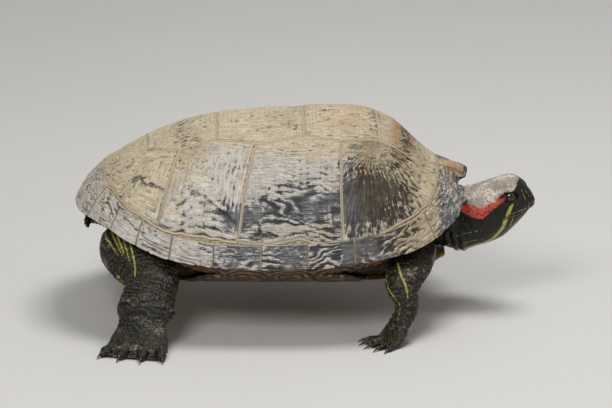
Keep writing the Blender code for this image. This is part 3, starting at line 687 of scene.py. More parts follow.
def plate_relief(plan, share, bearing, distance, style, seed):
    """Height of the relief on a plate, and its fine part alone.

    share runs 0 at the plate's oldest point to 1 at its edge; bearing is the
    direction from there; distance is how far the edge is.
    """
    settings = bpy.context.scene.turtle_shell
    lifted = on_dome(plan)
    ring = np.column_stack([np.cos(bearing), np.sin(bearing), share])
    broad = (layered(lifted, BROAD_SIZE, 2, seed) - 0.56) * BROAD_HEIGHT
    slow = share**1.25 + 0.10 * (layered(ring, (0.6, 0.6, 2.0), 3, seed + 5) - 0.5)
    steps = slow * style["rings"]
    ridges = crests(steps) * 0.62 + crests(steps * 2.3 + 0.3) * 0.38
    rings_left = worn(lifted, 0.014, 0.36, 0.62, 0.25, seed + 9)
    fine = settings.rings * style["ring_weight"] * (ridges - CREST_MEAN) * rings_left
    sway = layered(lifted, (0.009, 0.009, 0.006), 3, seed + 13)
    fan = crests(bearing / (2 * np.pi) * style["fan"] + 3.0 * sway)
    fan_left = worn(lifted, 0.014, 0.34, 0.60, 0.2, seed + 17)
    fan_height = settings.rugae * style["fan_weight"]
    fine += fan_height * (fan - CREST_MEAN) * ease(0.03, 0.25, share) * fan_left
    warp = layered(lifted, (0.020, 0.014, 0.010), 3, seed + 41)
    height_run = lifted[:, 2] - 0.45 * np.abs(lifted[:, 1])
    swell = crests(height_run / SWELL_SPACING + 4.5 * warp)
    swell_left = worn(lifted, 0.015, 0.36, 0.60, 0.25, seed + 43)
    low = 1 - ease(0.034, 0.056, lifted[:, 2])
    fine += style["swell"] * SWELL_HEIGHT * (swell - CREST_MEAN) * low * swell_left
    rows = crests(height_run / ROW_SPACING + 4.0 * warp)
    fine += ROW_HEIGHT * (rows - CREST_MEAN) * (1 - low) * swell_left
    shifted = lifted + np.outer(layered(lifted, 0.005, 2, seed + 29), (0.006, 0.006, 0.005))
    chips = ease(0.66, 0.78, layered(shifted, CHIP_SIZE, 2, seed + 27))
    fine -= CHIP_DEPTH * chips + scratch_depth(lifted)
    roll = 1 - ease(0.0, ROLL_WIDTH, distance)
    border = ease(0.0, BORDER_WIDTH, distance)
    return broad * border + fine * (0.25 + 0.75 * border) - ROLL_DEPTH * roll, fine


# For each kind of plate: how many rings and how strong, whether the streaks run level, how
# many wrinkles fan out and how strong, how strong the swell is low on the flank, and how
# much of the streaking follows the fan.
STYLE_KEYS = ("rings", "ring_weight", "level", "fan", "fan_weight", "swell", "fanned")
PLATE_STYLES = {kind: dict(zip(STYLE_KEYS, row)) for kind, row in {
    "vertebral": (7, 0.7, True, 24, 0.15, 0.3, 1.0),
    "front": (9, 0.35, False, 44, 0.75, 0.35, 1.0),
    "middle": (10, 0.45, True, 30, 0.15, 1.0, 1.0),
    "rear": (10, 1.0, False, 30, 0.25, 0.65, 0.1)}.items()}
PLATE_SILT, RIM_SILT = 0.84, 0.80                # share of the shell under dried silt
EDGE_SHARES = (0.945, 0.958, 0.969, 0.978, 0.985, 0.991, 0.996, 1.0)    # rows close to a plate's edge
UNDER_SHARES = (1.0, 0.75, 0.45, 0.2)            # rows of a plate's underside


def shell_masks(points, fine, edge, silt):
    """Masks of the carapace's colours."""
    cloud = layered(points, 0.016, 3, 301) - 0.5
    side = grain(points * (1, 0, 1) + np.sign(points[:, 1:2]) * (0, 5, 0), 0.016, 305) - 0.5
    seen = points + np.column_stack([side * 0.010, side * 0, cloud * 0.010])
    level = silt - blobs(seen, BARE_PATCHES) + 0.30 * cloud
    level += 0.12 * ease(0.046, 0.064, points[:, 2])
    level += 0.20 * ease(0.079, 0.092, points[:, 0]) * (1 - ease(0.050, 0.060, points[:, 2]))
    # relief carries the fine relief's height to the shader, where it paints shade in hollows and highlight
    # on crests.
    return {"silt": level, "umber": blobs(seen, UMBER_PATCHES),
            "ochre": blobs(points + np.outer(side, (0.002, 0, 0.002)), OCHRE_PATCHES),
            "cool": blobs(seen, COOL_PATCHES) + 0.12, "relief": 0.5 + fine / 0.0011, "edge": edge,
            "under": np.zeros(len(points)), "blotch": np.zeros(len(points))}


def plate_lie(surface, share, bearing, radius, style, seed):
    """Where each point lies across and along the plate's ridges, in metres."""
    if style["level"]:
        across = surface[:, 2] - 0.6 * np.abs(surface[:, 1])
        return np.column_stack([across, across * 0 + seed * 0.01, surface[:, 0]])
    mean = np.median(radius)
    return np.column_stack([np.cos(bearing) * mean, np.sin(bearing) * mean,
                            share * mean + seed * 0.1])


def make_plate(name, outline, focus, style, seed, material):
    """One plate of the carapace: rings of points from its oldest point to its edge."""
    settings = bpy.context.scene.turtle_shell
    focus = np.asarray(focus, float)
    outline = drawn_in(wander(outline), settings.seam / 2)
    spokes = outline - focus
    radius = np.linalg.norm(spokes, axis=1)
    count = len(outline)
    inner = max(12, int(np.median(radius) / settings.step))
    shares = np.concatenate([np.linspace(0, 0.93, inner)[1:], EDGE_SHARES])
    plan = focus + spokes[None, :, :] * shares[:, None, None]
    tangent = unit(np.roll(outline, -1, axis=0) - np.roll(outline, 1, axis=0))
    facing = np.abs(spokes[:, 0] * tangent[:, 1] - spokes[:, 1] * tangent[:, 0])
    distance = np.outer(1 - shares, facing)
    share = np.repeat(shares, count)
    bearing = np.tile(np.arctan2(spokes[:, 1], spokes[:, 0]), len(shares))
    flat = np.vstack([focus[None, :], plan.reshape(-1, 2)])
    share = np.concatenate([[0.0], share])
    bearing = np.concatenate([[0.0], bearing])
    distance = np.concatenate([[facing.min()], distance.ravel()])
    height, fine = plate_relief(flat, share, bearing, distance, style, seed)
    normal = dome_normal(*flat.T)
    surface = on_dome(flat)
    top = surface + normal * np.maximum(height, DEEPEST)[:, None]
    edge = 1 - ease(0.0002, 0.00110, distance)
    masks = shell_masks(surface, fine, edge, PLATE_SILT)
    masks["fanned"] = np.full(len(surface), style["fanned"])
    masks["lie"] = plate_lie(surface, share, bearing, radius, style, seed)
    under = np.vstack([focus + spokes * s for s in UNDER_SHARES] + [focus[None, :]])
    bottom = on_dome(under) - dome_normal(*under.T) * settings.thickness
    points = np.vstack([top, bottom])
    faces = [(0, 1 + i, 1 + (i + 1) % count) for i in range(count)]
    faces += grid_faces(len(shares), count, True, 1)
    last, base = 1 + (len(shares) - 1) * count, len(top)
    middle = len(points) - 1
    for i in range(count):
        j = (i + 1) % count
        faces.append((last + i, last + j, base + j, base + i))
        faces.append((middle - count + i, middle - count + j, middle))
    faces += grid_faces(len(UNDER_SHARES), count, True, base)
    masks = {key: np.concatenate([values, np.zeros((len(bottom), *values.shape[1:]))])
             for key, values in masks.items()}
    make_piece(f"scute_{name}", points, faces, material, masks, "carapace", [name])


def corner(index, side=1):
    """Plan point of one corner of the ridge plates."""
    u, y = CORNERS[index]
    return np.array([u * HALF_LENGTH, side * y])


def vertebral_outlines(step):
    """Outlines of the ridge plates, front to rear, with their oldest points."""
    shoulder, rump = rim_angle(SHOULDER_SEAM), rim_angle(RUMP_SEAM)
    yield joined(seam_line(-shoulder, shoulder, step),
                 plan_line([seam_point(shoulder), corner(0), corner(0, -1), seam_point(-shoulder)],
                           step))
    for first in (0, 2, 4):
        left = [corner(first), corner(first + 1), corner(first + 2)]
        right = [corner(first + i, -1) for i in (2, 1, 0)]
        yield joined(plan_line(left + right + left[:1], step))
    yield joined(plan_line([seam_point(-rump), corner(6, -1), corner(6), seam_point(rump)], step),
                 seam_line(rump, 180.0, step), seam_line(-180.0, -rump, step))


def pleural_outlines(step):
    """Outlines of the four left flank plates, front to rear."""
    shoulder, rump = rim_angle(SHOULDER_SEAM), rim_angle(RUMP_SEAM)
    feet = [shoulder] + [rim_angle(u) for u in PLEURAL_FEET] + [rump]
    marks = ((seam_point(shoulder), corner(0), corner(1)), (corner(1), corner(2), corner(3)),
             (corner(3), corner(4), corner(5)), (corner(5), corner(6), seam_point(rump)))
    for number, upper in enumerate(marks):
        front, rear = feet[number], feet[number + 1]
        yield joined(plan_line([*upper, seam_point(rear)], step), seam_line(rear, front, step),
                     plan_line([seam_point(front), upper[0]], step))


def make_carapace(material):
    """Ridge and flank plates."""
    step = bpy.context.scene.turtle_shell.step
    for number, outline in enumerate(vertebral_outlines(step), 1):
        middle = outline.mean(axis=0)
        focus = (middle[0] - 0.10 * np.ptp(outline[:, 0]), 0.0)
        make_plate(f"vertebral_{number}", outline, focus, PLATE_STYLES["vertebral"],
                   number * 11, material)
    kinds = ("front", "middle", "rear", "rear")
    shifts = ((-0.010, -0.012), (-0.014, -0.008), (-0.006, -0.010), (-0.002, -0.006))
    for number, outline in enumerate(pleural_outlines(step), 1):
        for side, word in SIDES:
            turned = outline * (1, side)
            back, inward = shifts[number - 1]
            focus = turned.mean(axis=0) + (back, side * inward)
            make_plate(f"pleural_{word}_{number}", turned, focus, PLATE_STYLES[kinds[number - 1]],
                       100 + number * 7 + side, material)


BED_DEPTHS = (0.00125, 0.0024)               # top and bottom of the bed, under the carapace's outside


def make_seam_bed(material):
    """A closed sheet of pale horn just under the plates, seen down the seams."""
    columns, rows = 150, 96
    shares = np.linspace(0, 1, columns)
    u = np.sin((shares - 0.5) * np.pi * 0.985)
    points = []
    for depth in BED_DEPTHS:
        for r in range(rows):
            v = math.sin((r / (rows - 1) - 0.5) * math.pi)
            x = u * (HALF_LENGTH - 0.0125)
            y = v * (half_width(x / HALF_LENGTH) - 0.0050)
            points.append(on_dome(np.column_stack([x, y])) - dome_normal(x, y) * depth)
    points = np.vstack(points)
    half = rows * columns
    faces = grid_faces(rows, columns) + grid_faces(rows, columns, start=half)
    border = [*range(columns), *range(2 * columns - 1, half, columns),
              *range(half - 2, half - columns - 1, -1), *range(half - 2 * columns, 0, -columns)]
    for a, b in zip(border, border[1:] + border[:1]):
        faces.append((a, b, half + b, half + a))
    make_piece("seam_bed", points, faces, material, slot="carapace")


# ---- rim plates ----
def rounded(corners, counts):
    """A smooth run through corner points given as arrays; counts steps for each stretch."""
    padded = [corners[0] * 2 - corners[1]] + list(corners) + [corners[-1] * 2 - corners[-2]]
    run = []
    for i, count in enumerate(counts):
        p0, p1, p2, p3 = padded[i:i + 4]
        for k in range(count):
            t = k / count
            run.append(0.5 * (2 * p1 + (p2 - p0) * t + (2 * p0 - 5 * p1 + 4 * p2 - p3) * t * t
                              + (3 * p1 - p0 - 3 * p2 + p3) * t**3))
    run.append(corners[-1])
    return run


SECTION_COUNTS = (18, 16, 6, 16)             # points on each stretch of a rim plate's section
RIM_EDGE_COLUMN = 20                         # the section's column whose run is the plate's length
WRINKLE_HEIGHT, WRINKLE_SPACING = 0.00085, 0.0056
LINE_HEIGHT, LINE_SPACING = 0.00030, 0.0026
RIM_BROAD, RIM_ROLL = 0.0009, 0.00034
NUCHAL_LIP = 0.0034                          # how far the nuchal plate stands up


def rim_section(angle, lip):
    """Cross-sections of the rim at angles: the outside from seam to underside."""
    rim = rim_point(angle)
    _, out = rim_frame(angle)
    up = np.array([0.0, 0.0, 1.0])
    depth = (seam_depth(angle) - bpy.context.scene.turtle_shell.seam / 2)[:, None]
    seam = on_dome((rim - out * depth)[:, :2])
    crown = on_dome((rim - out * depth * 0.45)[:, :2]) + up * lip[:, None]
    notch = np.where(lip > 0, 0.0, 0.0042 * np.exp(-((np.abs(angle) - 3.0) / 3.4)**2))[:, None]
    low_edge = rim - out * (0.0012 + notch) + up * (lip[:, None] * 0.75 - 0.0016 - notch * 0.5)
    under = rim - out * under_depth(angle)[:, None]
    under[:, 2] = rim[:, 2] + rim_drop(angle)
    outer = rim + out * (lip[:, None] * 0.5 - notch) + up * (lip[:, None] - notch * 0.3)
    section = np.stack(rounded([seam, crown, outer, low_edge, under], SECTION_COUNTS), axis=1)
    return section, seam - unit(out * 0.35 + up) * 0.0026


def make_marginal(name, first, last, seed, material, lip=0.0):
    """One plate of the rim between two rim angles."""
    settings = bpy.context.scene.turtle_shell
    reach = np.linalg.norm(rim_point(float(last)) - rim_point(float(first)))
    count = max(10, int(reach / (settings.step * 0.9)))
    t = np.linspace(0, 1, count + 1)
    t = np.concatenate([[0.0, 0.10 / count * 2], t[1:-1], [1 - 0.10 / count * 2, 1.0]])
    angle = first + (last - first) * t
    section, inner = rim_section(angle, lip * (1 - (2 * t - 1)**4))
    rows, columns = section.shape[:2]
    tangent, _ = rim_frame(angle)
    sign = math.copysign(1, last - first)
    run = run_lengths(section[:, RIM_EDGE_COLUMN])
    from_seam = np.cumsum(np.linalg.norm(np.diff(section, axis=1), axis=2), axis=1)
    from_seam = np.pad(from_seam, ((0, 0), (1, 0)))
    near = np.minimum(np.minimum(run, run[-1] - run)[:, None], from_seam).ravel()
    normal = unit(np.cross(np.gradient(section, axis=1), np.gradient(section, axis=0))) * sign
    world = section.reshape(-1, 3)
    across, down = from_seam.ravel(), np.repeat(run, columns)
    flat = np.column_stack([down + seed, across, world[:, 2] * 0])
    warp = layered(flat, (0.0130, 0.0075, 1.0), 3, seed)
    wrinkle = crests(across / WRINKLE_SPACING + 4.2 * warp) - CREST_MEAN
    line = crests(across / LINE_SPACING + 5.5 * warp) - CREST_MEAN
    broad = layered(world, 0.011, 2, seed + 7) - 0.5
    above = ease(0.26, 0.40, 1 - np.tile(np.arange(columns) / columns, rows))
    wrinkles_left = 0.30 + 0.70 * ease(0.35, 0.6, grain(world, 0.012, seed + 9))
    fine = (WRINKLE_HEIGHT * wrinkle + LINE_HEIGHT * line) * wrinkles_left
    fine *= (0.25 + 0.75 * above) * (1 - 0.55 * ease(0.084, 0.094, world[:, 0]))
    border = ease(0.0, 0.0030, near)
    height = broad * RIM_BROAD * border + fine * (0.2 + 0.8 * border)
    height -= RIM_ROLL * (1 - ease(0, 0.0011, near))
    moved = (world + normal.reshape(-1, 3) * height[:, None]).reshape(rows, columns, 3)
    moved[0] += tangent[0] * sign * settings.seam / 2
    moved[-1] -= tangent[-1] * sign * settings.seam / 2

    masks = shell_masks(world, fine, (1 - ease(0.0001, 0.00080, near)) * above, RIM_SILT)
    x = world[:, 0]
    beside = ease(-0.050, -0.020, x) * (1 - ease(0.068, 0.078, x))
    front = ease(0.100, 0.106, x) * (np.abs(world[:, 1]) > NUCHAL_HALF_WIDTH + 0.0005)
    masks["silt"] -= 0.50 * beside + 0.24 * ease(0.068, 0.078, x) + 0.42 * front
    masks["cool"] += 0.65 * (1 - ease(0.066, 0.078, x)) + 0.6 * front
    masks["umber"] += 0.9 * ease(0.070, 0.080, x) - 0.9 * front
    masks["under"] = 1 - above
    masks["blotch"] = 1 - bridge_rings(world)
    masks["fanned"] = np.ones(len(world))
    masks["lie"] = np.column_stack([across, np.full(len(world), seed * 0.01), down + seed * 0.1])

    points, faces = closed_grid(np.concatenate([moved, inner[:, None, :]], axis=1))
    beside_inner = np.minimum(np.arange(columns + 1), columns - 1)
    source = (np.arange(rows)[:, None] * columns + beside_inner).ravel()
    source = np.append(source, (0, (rows - 1) * columns))
    masks = {key: values[source] for key, values in masks.items()}
    make_piece(f"scute_{name}", points, faces, material, masks, "carapace", [name])


def make_rim(material):
    """Twelve rim plates a side and the nuchal plate between the first two."""
    reach = next(a / 10 for a in range(1, 300) if rim_point(a / 10)[1] >= NUCHAL_HALF_WIDTH)
    make_marginal("nuchal", -reach, reach, 900, material, lip=NUCHAL_LIP)
    angles = [reach] + [float(rim_angle(np.float64(u))) for u in MARGINAL_SEAMS]
    for side, word in SIDES:
        for i in range(12):
            make_marginal(f"marginal_{word}_{i + 1}", side * angles[i], side * angles[i + 1],
                          500 + i * 3 + side, material)


# ---- plastron ----
FRONT_TIP, REAR_TIP, REAR_NOTCH = 0.1085, -0.1050, -0.0975
BRIDGE_CREASE = 0.0470
BRIDGE_FRONT, BRIDGE_REAR = 0.055, -0.048
PLASTRON_THICKNESS = 0.0030
PLASTRON_GAP = 0.00018                       # half the gap between two plates
GROOVE_DEPTH, GROOVE_WIDTH = 0.00050, 0.0011
LIP_HEIGHT, LIP_WIDTH = 0.0012, 0.0020       # rounded outer edge
RING_CELL, RING_SPACING = 0.0265, 0.0052     # of the dark rings on the bridge
LOBES = ((-0.1050, 0.0200), (-0.0950, 0.0400), (-0.0750, 0.0500), (-0.0480, 0.0490),
         (0.0, 0.0480), (0.0550, 0.0475), (0.0750, 0.0440), (0.0950, 0.0330),
         (0.1085, 0.0130))
PLASTRON_SEAMS = (("gular", 0.0780, 0.0960), ("humeral", 0.0585, 0.0600),
                  ("pectoral", 0.0285, 0.0265), ("abdominal", -0.0295, -0.0460),
                  ("femoral", -0.0595, -0.0720), ("anal", REAR_NOTCH, REAR_TIP))


def bridge_reach(x):
    """Half width of the plastron, out along the bridge to the rim's underside."""
    out = half_width(x / HALF_LENGTH) - 0.0118
    lobe = along(LOBES, x)
    share = ease(BRIDGE_REAR - 0.006, BRIDGE_REAR + 0.010, x)
    share = share * (1 - ease(BRIDGE_FRONT - 0.010, BRIDGE_FRONT + 0.006, x))
    return lobe + (out - lobe) * share


def plastron_floor(x, y):
    """Height of the plastron's underside."""
    level = PLASTRON_LEVEL + 0.0060 * ease(0.065, 0.112, x) + 0.0035 * ease(0.07, 0.11, -x)
    rise = np.maximum(np.abs(y) - BRIDGE_CREASE, 0.0) / 0.030
    return level + 0.0125 * np.minimum(rise, 1.0) ** 1.1


def plastron_material():
    """Yellow horn with dark blotches and a thin film of dried mud."""
    material, tree, shader = new_material("plastron_horn")
    tone = speckle(tree, 160.0, 5.0, 0.6)
    yellow = mix(tree, between(tree, tone, 0.35, 0.70), (0.46, 0.245, 0.044), (0.28, 0.130, 0.025))
    dark = mix(tree, between(tree, tone, 0.3, 0.7), (0.012, 0.010, 0.007), (0.045, 0.034, 0.018))
    blotch = plus(tree, mask(tree, "blotch"), swing(tree, tone, 0.5))
    patches = speckle(tree, 260.0, 6.0, 0.65)
    fine = speckle(tree, 1400.0, 3.0, 0.6)
    amount = plus(tree, plus(tree, patches, -0.5), 0.22, swing(tree, fine, 0.55))
    cover = between(tree, amount, 0.30, 0.72)
    mud = mix(tree, between(tree, patches, 0.35, 0.65), (0.26, 0.19, 0.11), (0.12, 0.09, 0.05))
    edge = between(tree, mask(tree, "edge"), 0.3, 0.9)
    colour = layers(tree, yellow, (between(tree, blotch, 0.42, 0.58), 1, dark), (cover, 1, mud),
                    (edge, 1, (0.035, 0.022, 0.010)))
    connect(tree, shader, Base_Color=colour, Roughness=mix_values(tree, cover, 0.42, 0.92),
            Normal=bump_of(tree, speckle(tree, 900.0), 0.0003, 0.5))
    return material


def bridge_rings(points):
    """Dark rings with yellow between them, on the bridge and under the rim."""
    x, y = points[:, 0], np.abs(points[:, 1])
    index = np.floor(x / RING_CELL).astype(np.int64)
    centre = (index + 0.5 + 0.16 * (scatter(index, index * 0, index * 0, 5) - 0.5)) * RING_CELL
    jitter = (layered(points, 0.006, 2, 12) - 0.5) * 0.005
    d = np.sqrt((x - centre)**2 + ((y - 0.0700) * 0.85)**2) + jitter
    return ease(0.30, 0.62, 0.5 + 0.5 * np.cos(d / RING_SPACING * 2 * np.pi))


# Blotches of the plastron: x, distance out, radius.
BLOTCHES = ((0.093, 0.012, 0.007), (0.068, 0.024, 0.010), (0.043, 0.025, 0.011), (0.0, 0.026, 0.017),
            (-0.047, 0.026, 0.011), (-0.082, 0.022, 0.012))


def plastron_blotch(points):
    """Dark marking of the plastron: a pair of blotches on each plate, rings at the sides."""
    x, y = points[:, 0], np.abs(points[:, 1])
    jitter = (layered(points, 0.010, 3, 61) - 0.5) * 0.010
    total = np.zeros(len(points))
    for centre, out, size in BLOTCHES:
        d = np.hypot(x - centre, (y - out) * 0.8) + jitter
        pale_middle = 0.55 + 0.45 * ease(size * 0.2, size * 0.5, d)
        total = np.maximum(total, (1 - ease(size * 0.75, size, d)) * pale_middle)
    outward = ease(0.047, 0.052, y)
    rings = 1 - 0.95 * bridge_rings(points)
    return total * (1 - outward) + outward * np.clip(rings + 0.42, 0, 1)


def make_plastron(material):
    """Six plate pairs, each with a groove along the midline."""
    start, start_edge = FRONT_TIP, FRONT_TIP
    gap = PLASTRON_GAP
    across = np.concatenate([np.linspace(-1, -0.05, 44), np.linspace(-0.03, 0.03, 7),
                             np.linspace(0.05, 1, 44)])
    for name, end, end_edge in PLASTRON_SEAMS:
        count = max(8, int(abs(start - end) / 0.0012))
        shares = np.concatenate([[0, 0.006, 0.014], np.linspace(0.03, 0.97, count), [0.986, 0.994, 1.0]])
        middle = start - gap + (end - start + 2 * gap) * shares
        side = start_edge - gap + (end_edge - start_edge + 2 * gap) * shares
        reach = bridge_reach(side)
        x = middle[:, None] + (side - middle)[:, None] * np.abs(across)
        y = across * reach[:, None]
        z = plastron_floor(x, y)
        flat = np.stack([x, y, z], axis=-1).reshape(-1, 3)
        from_end = np.minimum(shares, 1 - shares)[:, None] * abs(end - start)
        from_edge = (1 - np.abs(across)) * reach[:, None]
        near = np.minimum(np.minimum(from_end, from_edge), np.abs(y) + 0.0001)
        relief = (layered(flat, 0.018, 2, 401) - 0.5) * 0.0009
        relief += (layered(flat, (0.004, 0.012, 0.01), 2, 403) - 0.5) * 0.0003
        groove = GROOVE_DEPTH * (1 - ease(0.0, GROOVE_WIDTH, near))
        lip = LIP_HEIGHT * (1 - ease(0.0, LIP_WIDTH, from_edge))
        lift = np.maximum(relief, -0.0003).reshape(x.shape) + groove + lip
        low = np.stack([x, y, z + lift], axis=-1)
        high = np.stack([x, y, z + PLASTRON_THICKNESS], axis=-1)[:, ::-1][:, ::6]
        points, faces = closed_grid(np.concatenate([low, high], axis=1))
        masks = {"blotch": plastron_blotch(flat).reshape(x.shape), "edge": 1 - ease(0.0001, 0.0007, near)}
        bare = ((0, 0), (0, high.shape[1]))
        masks = {key: np.append(np.pad(values, bare), (0.0, 0.0)) for key, values in masks.items()}
        make_piece(f"scute_{name}", points, faces, material, masks, "plastron", [name])
        start, start_edge = end, end_edge


# ---- limbs ----
# Legs, root to ankle: x, distance out, height over the floor, half width, half thickness.
FORELEG = ((0.0880, 0.0300, 0.0440, 0.0150, 0.0125), (0.0870, 0.0460, 0.0425, 0.0145, 0.0125),
           (0.0848, 0.0600, 0.0405, 0.0130, 0.0115), (0.0824, 0.0705, 0.0385, 0.0118, 0.0098),
           (0.0814, 0.0755, 0.0345, 0.0110, 0.0085), (0.0818, 0.0775, 0.0300, 0.0094, 0.0078),
           (0.0836, 0.0786, 0.0250, 0.0076, 0.0072), (0.0838, 0.0800, 0.0200, 0.0076, 0.0070))
HINDLEG = ((-0.0870, 0.0280, 0.0480, 0.0185, 0.0150), (-0.0850, 0.0440, 0.0465, 0.0198, 0.0160),
           (-0.0785, 0.0590, 0.0435, 0.0195, 0.0148), (-0.0728, 0.0695, 0.0405, 0.0170, 0.0125),
           (-0.0712, 0.0760, 0.0370, 0.0162, 0.0112), (-0.0722, 0.0805, 0.0325, 0.0160, 0.0105),
           (-0.0740, 0.0845, 0.0270, 0.0168, 0.0100), (-0.0755, 0.0880, 0.0210, 0.0182, 0.0098))
FOREFOOT_HEADING = {"right": 148, "left": 84}
HINDFOOT_HEADING = {"right": 104, "left": 96}
FOREFOOT_SHIFT = {"right": 0.0, "left": 0.004}
HINDFOOT_SHIFT = {"right": 0.0, "left": 0.005}
PALM = ((0.28, 0.45, 0.78, 1.6), (0.56, 0.16, 0.92, 1.3), (0.80, 0.0, 1.0, 1.0),
        (1.0, 0.0, 0.96, 0.8))
FOREFOOT = {"reach": 0.0165, "half_wide": 0.0115, "half_thick": 0.0034, "web": 0.34,
            "toes": (0.0120, 0.0150, 0.0160, 0.0150, 0.0120), "girth": 0.0021, "fan": 26,
            "claw": 0.0068}
HINDFOOT = {"reach": 0.0230, "half_wide": 0.0195, "half_thick": 0.0040, "web": 0.52,
            "toes": (0.0150, 0.0180, 0.0180, 0.0155), "girth": 0.0034, "fan": 20,
            "claw": 0.0070}
# Toe and claw, root to tip: share of the length, share of the girth, height.
TOE = ((-0.25, 1.0, 1.0), (0.0, 1.0, 1.0), (0.22, 0.90, 1.35), (0.45, 0.98, 1.05), (0.62, 0.72, 0.95),
       (0.72, 0.42, 0.9))
CLAW = ((0.0, 0.9, 0.62), (0.25, 0.85, 0.74), (0.5, 0.62, 0.66), (0.75, 0.38, 0.40), (0.93, 0.16, 0.14),
        (1.0, 0.05, 0.05))
CLAW_RADIUS = 0.00125
# Tail, trunk to tip: x, y, z, radius.
TAIL = ((-0.088, 0.0, 0.0060, 0.0110), (-0.098, 0.0, 0.0078, 0.0095),
        (-0.106, -0.003, 0.0092, 0.0068), (-0.1115, -0.009, 0.0095, 0.0044),
        (-0.1135, -0.016, 0.0080, 0.0026), (-0.1125, -0.0215, 0.0060, 0.0011))
COAT = 0.00035               # the skin lies this far inside the scales' outline
FOLD_SPACING, FOLD_MEAN = 0.0040, 0.62
PLEAT_HEIGHT, PLEAT_MEAN = 0.0009, 0.60      # loose skin in the shell's pockets
FLOOR = -SHELL_ORIGIN[2]
# How far the flesh stays under the carapace's outside and under the rim.
DOME_CLEARANCE, RIM_CLEARANCE = 0.0026, 0.0030


def tube_path(stations, wide, per_station=12):
    """A smooth path through rows of x, y, z, half width, half thickness."""
    rows = np.array(stations, float)
    t = np.linspace(0, len(rows) - 1, (len(rows) - 1) * per_station + 1)
    values = along(np.column_stack([np.arange(len(rows)), rows]), t)
    centre = values[:, :3]
    forward = unit(np.gradient(centre, axis=0))
    wide = np.asarray(wide, float)
    across = unit(wide - forward * (forward @ wide)[:, None])
    thick = np.cross(forward, across)
    return {"centre": centre, "forward": forward, "across": across, "thick": thick,
            "wide": values[:, 3], "deep": values[:, 4], "run": run_lengths(centre)}


def tube_mesh(path, sides=32):
    """Points and faces of a closed tube with rounded ends over a path."""
    turns = ring_steps(sides)
    ring = (path["across"][:, None, :] * (path["wide"][:, None] * np.cos(turns))[..., None]
            + path["thick"][:, None, :] * (path["deep"][:, None] * np.sin(turns))[..., None])
    rings = list(path["centre"][:, None, :] + ring)
    for end, sign in ((0, -1), (-1, 1)):
        bulge = min(path["wide"][end], path["deep"][end]) * 0.6
        for lift, share in ((0.55, 0.85), (0.9, 0.5)):
            extra = path["centre"][end] + path["forward"][end] * sign * bulge * lift + ring[end] * share
            rings = [extra, *rings] if end == 0 else [*rings, extra]
    return closed_grid(np.array(rings))


def leg_path(table, side, shift):
    """Path of one leg; the shift carries the foot along x."""
    top, low = table[0][2], table[-1][2]
    rows = [(x + shift * (top - height) / (top - low), side * out, height + FLOOR,
             wide - COAT, deep - COAT) for x, out, height, wide, deep in table]
    return tube_path(rows, (1, 0, 0))


def foot_paths(leg, side, heading, size):
    """Paths of a palm, of the web between its toes, and of the toes."""
    down = leg["forward"][-1]
    start = leg["centre"][-1]
    angle = math.radians(heading)
    level = np.array([math.cos(angle), side * math.sin(angle), 0.0])
    across = np.array([abs(level[1]), -level[0] * math.copysign(1, level[1]), 0.0])
    drop = start[2] - FLOOR
    rows = [(*(start - down * 0.004), leg["wide"][-1], leg["deep"][-1]),
            (*start, leg["wide"][-1], leg["deep"][-1])]
    for share, height, wide, thick in PALM:
        centre = start + level * size["reach"] * share
        centre[2] = FLOOR + size["half_thick"] * thick * 0.80 + drop * height
        rows.append((*centre, size["half_wide"] * wide - COAT, size["half_thick"] * thick - COAT))
    palm = tube_path(rows, across, 8)
    knuckle = start + level * size["reach"] * 0.88
    knuckle[2] = FLOOR + size["half_thick"] * 0.80
    last = len(size["toes"]) - 1
    toes, claws = [], []
    for i, length in enumerate(size["toes"]):
        t = i / last * 2 - 1
        root = knuckle + across * size["half_wide"] * 0.78 * t
        turn = math.radians(size["fan"]) * t
        ahead = level * math.cos(turn) + across * math.sin(turn)
        girth = size["girth"] - COAT * 0.5
        rows = []
        for share, radius, lift in TOE:
            point = root + ahead * length * share
            point[2] = FLOOR + girth * radius * lift * 0.92
            rows.append((*point, girth * radius, girth * radius * 0.95))
        sideways = np.cross(ahead, (0, 0, 1))
        toes.append(tube_path(rows, sideways, 6))
        base = root + ahead * length * 0.60
        rows = []
        for share, radius, height in CLAW:
            point = base + ahead * (length * 0.40 + 0.0012) * share
            thick = CLAW_RADIUS * radius
            point[2] = FLOOR + max(girth * 1.3 * height, thick + 0.00005)
            rows.append((*point, thick * 0.8, thick))
        claws.append(tube_path(rows, sideways, 5))
    web = []
    for share in (0.0, 0.35, 0.7, 1.0):
        centre = knuckle + level * size["toes"][1] * size["web"] * share
        centre[2] = FLOOR + 0.0014
        half = size["half_wide"] * (0.80 + math.sin(math.radians(size["fan"])) * 0.45 * share)
        web.append((*centre, half, 0.00095))
    return palm, tube_path(web, across, 5), toes, claws


def turtle_limbs():
    """Paths of every leg, foot, toe and claw, by name."""
    limbs = {}
    for side, word in ((-1, "right"), (1, "left")):
        for kind, table, shift, heading, size in (
                ("fore", FORELEG, FOREFOOT_SHIFT, FOREFOOT_HEADING, FOREFOOT),
                ("hind", HINDLEG, HINDFOOT_SHIFT, HINDFOOT_HEADING, HINDFOOT)):
            leg = leg_path(table, side, shift[word])
            palm, web, toes, claws = foot_paths(leg, side, heading[word], size)
            limbs[f"{kind}_{word}"] = {"leg": leg, "palm": palm, "web": web, "toes": toes,
                                       "claws": claws}
    return limbs


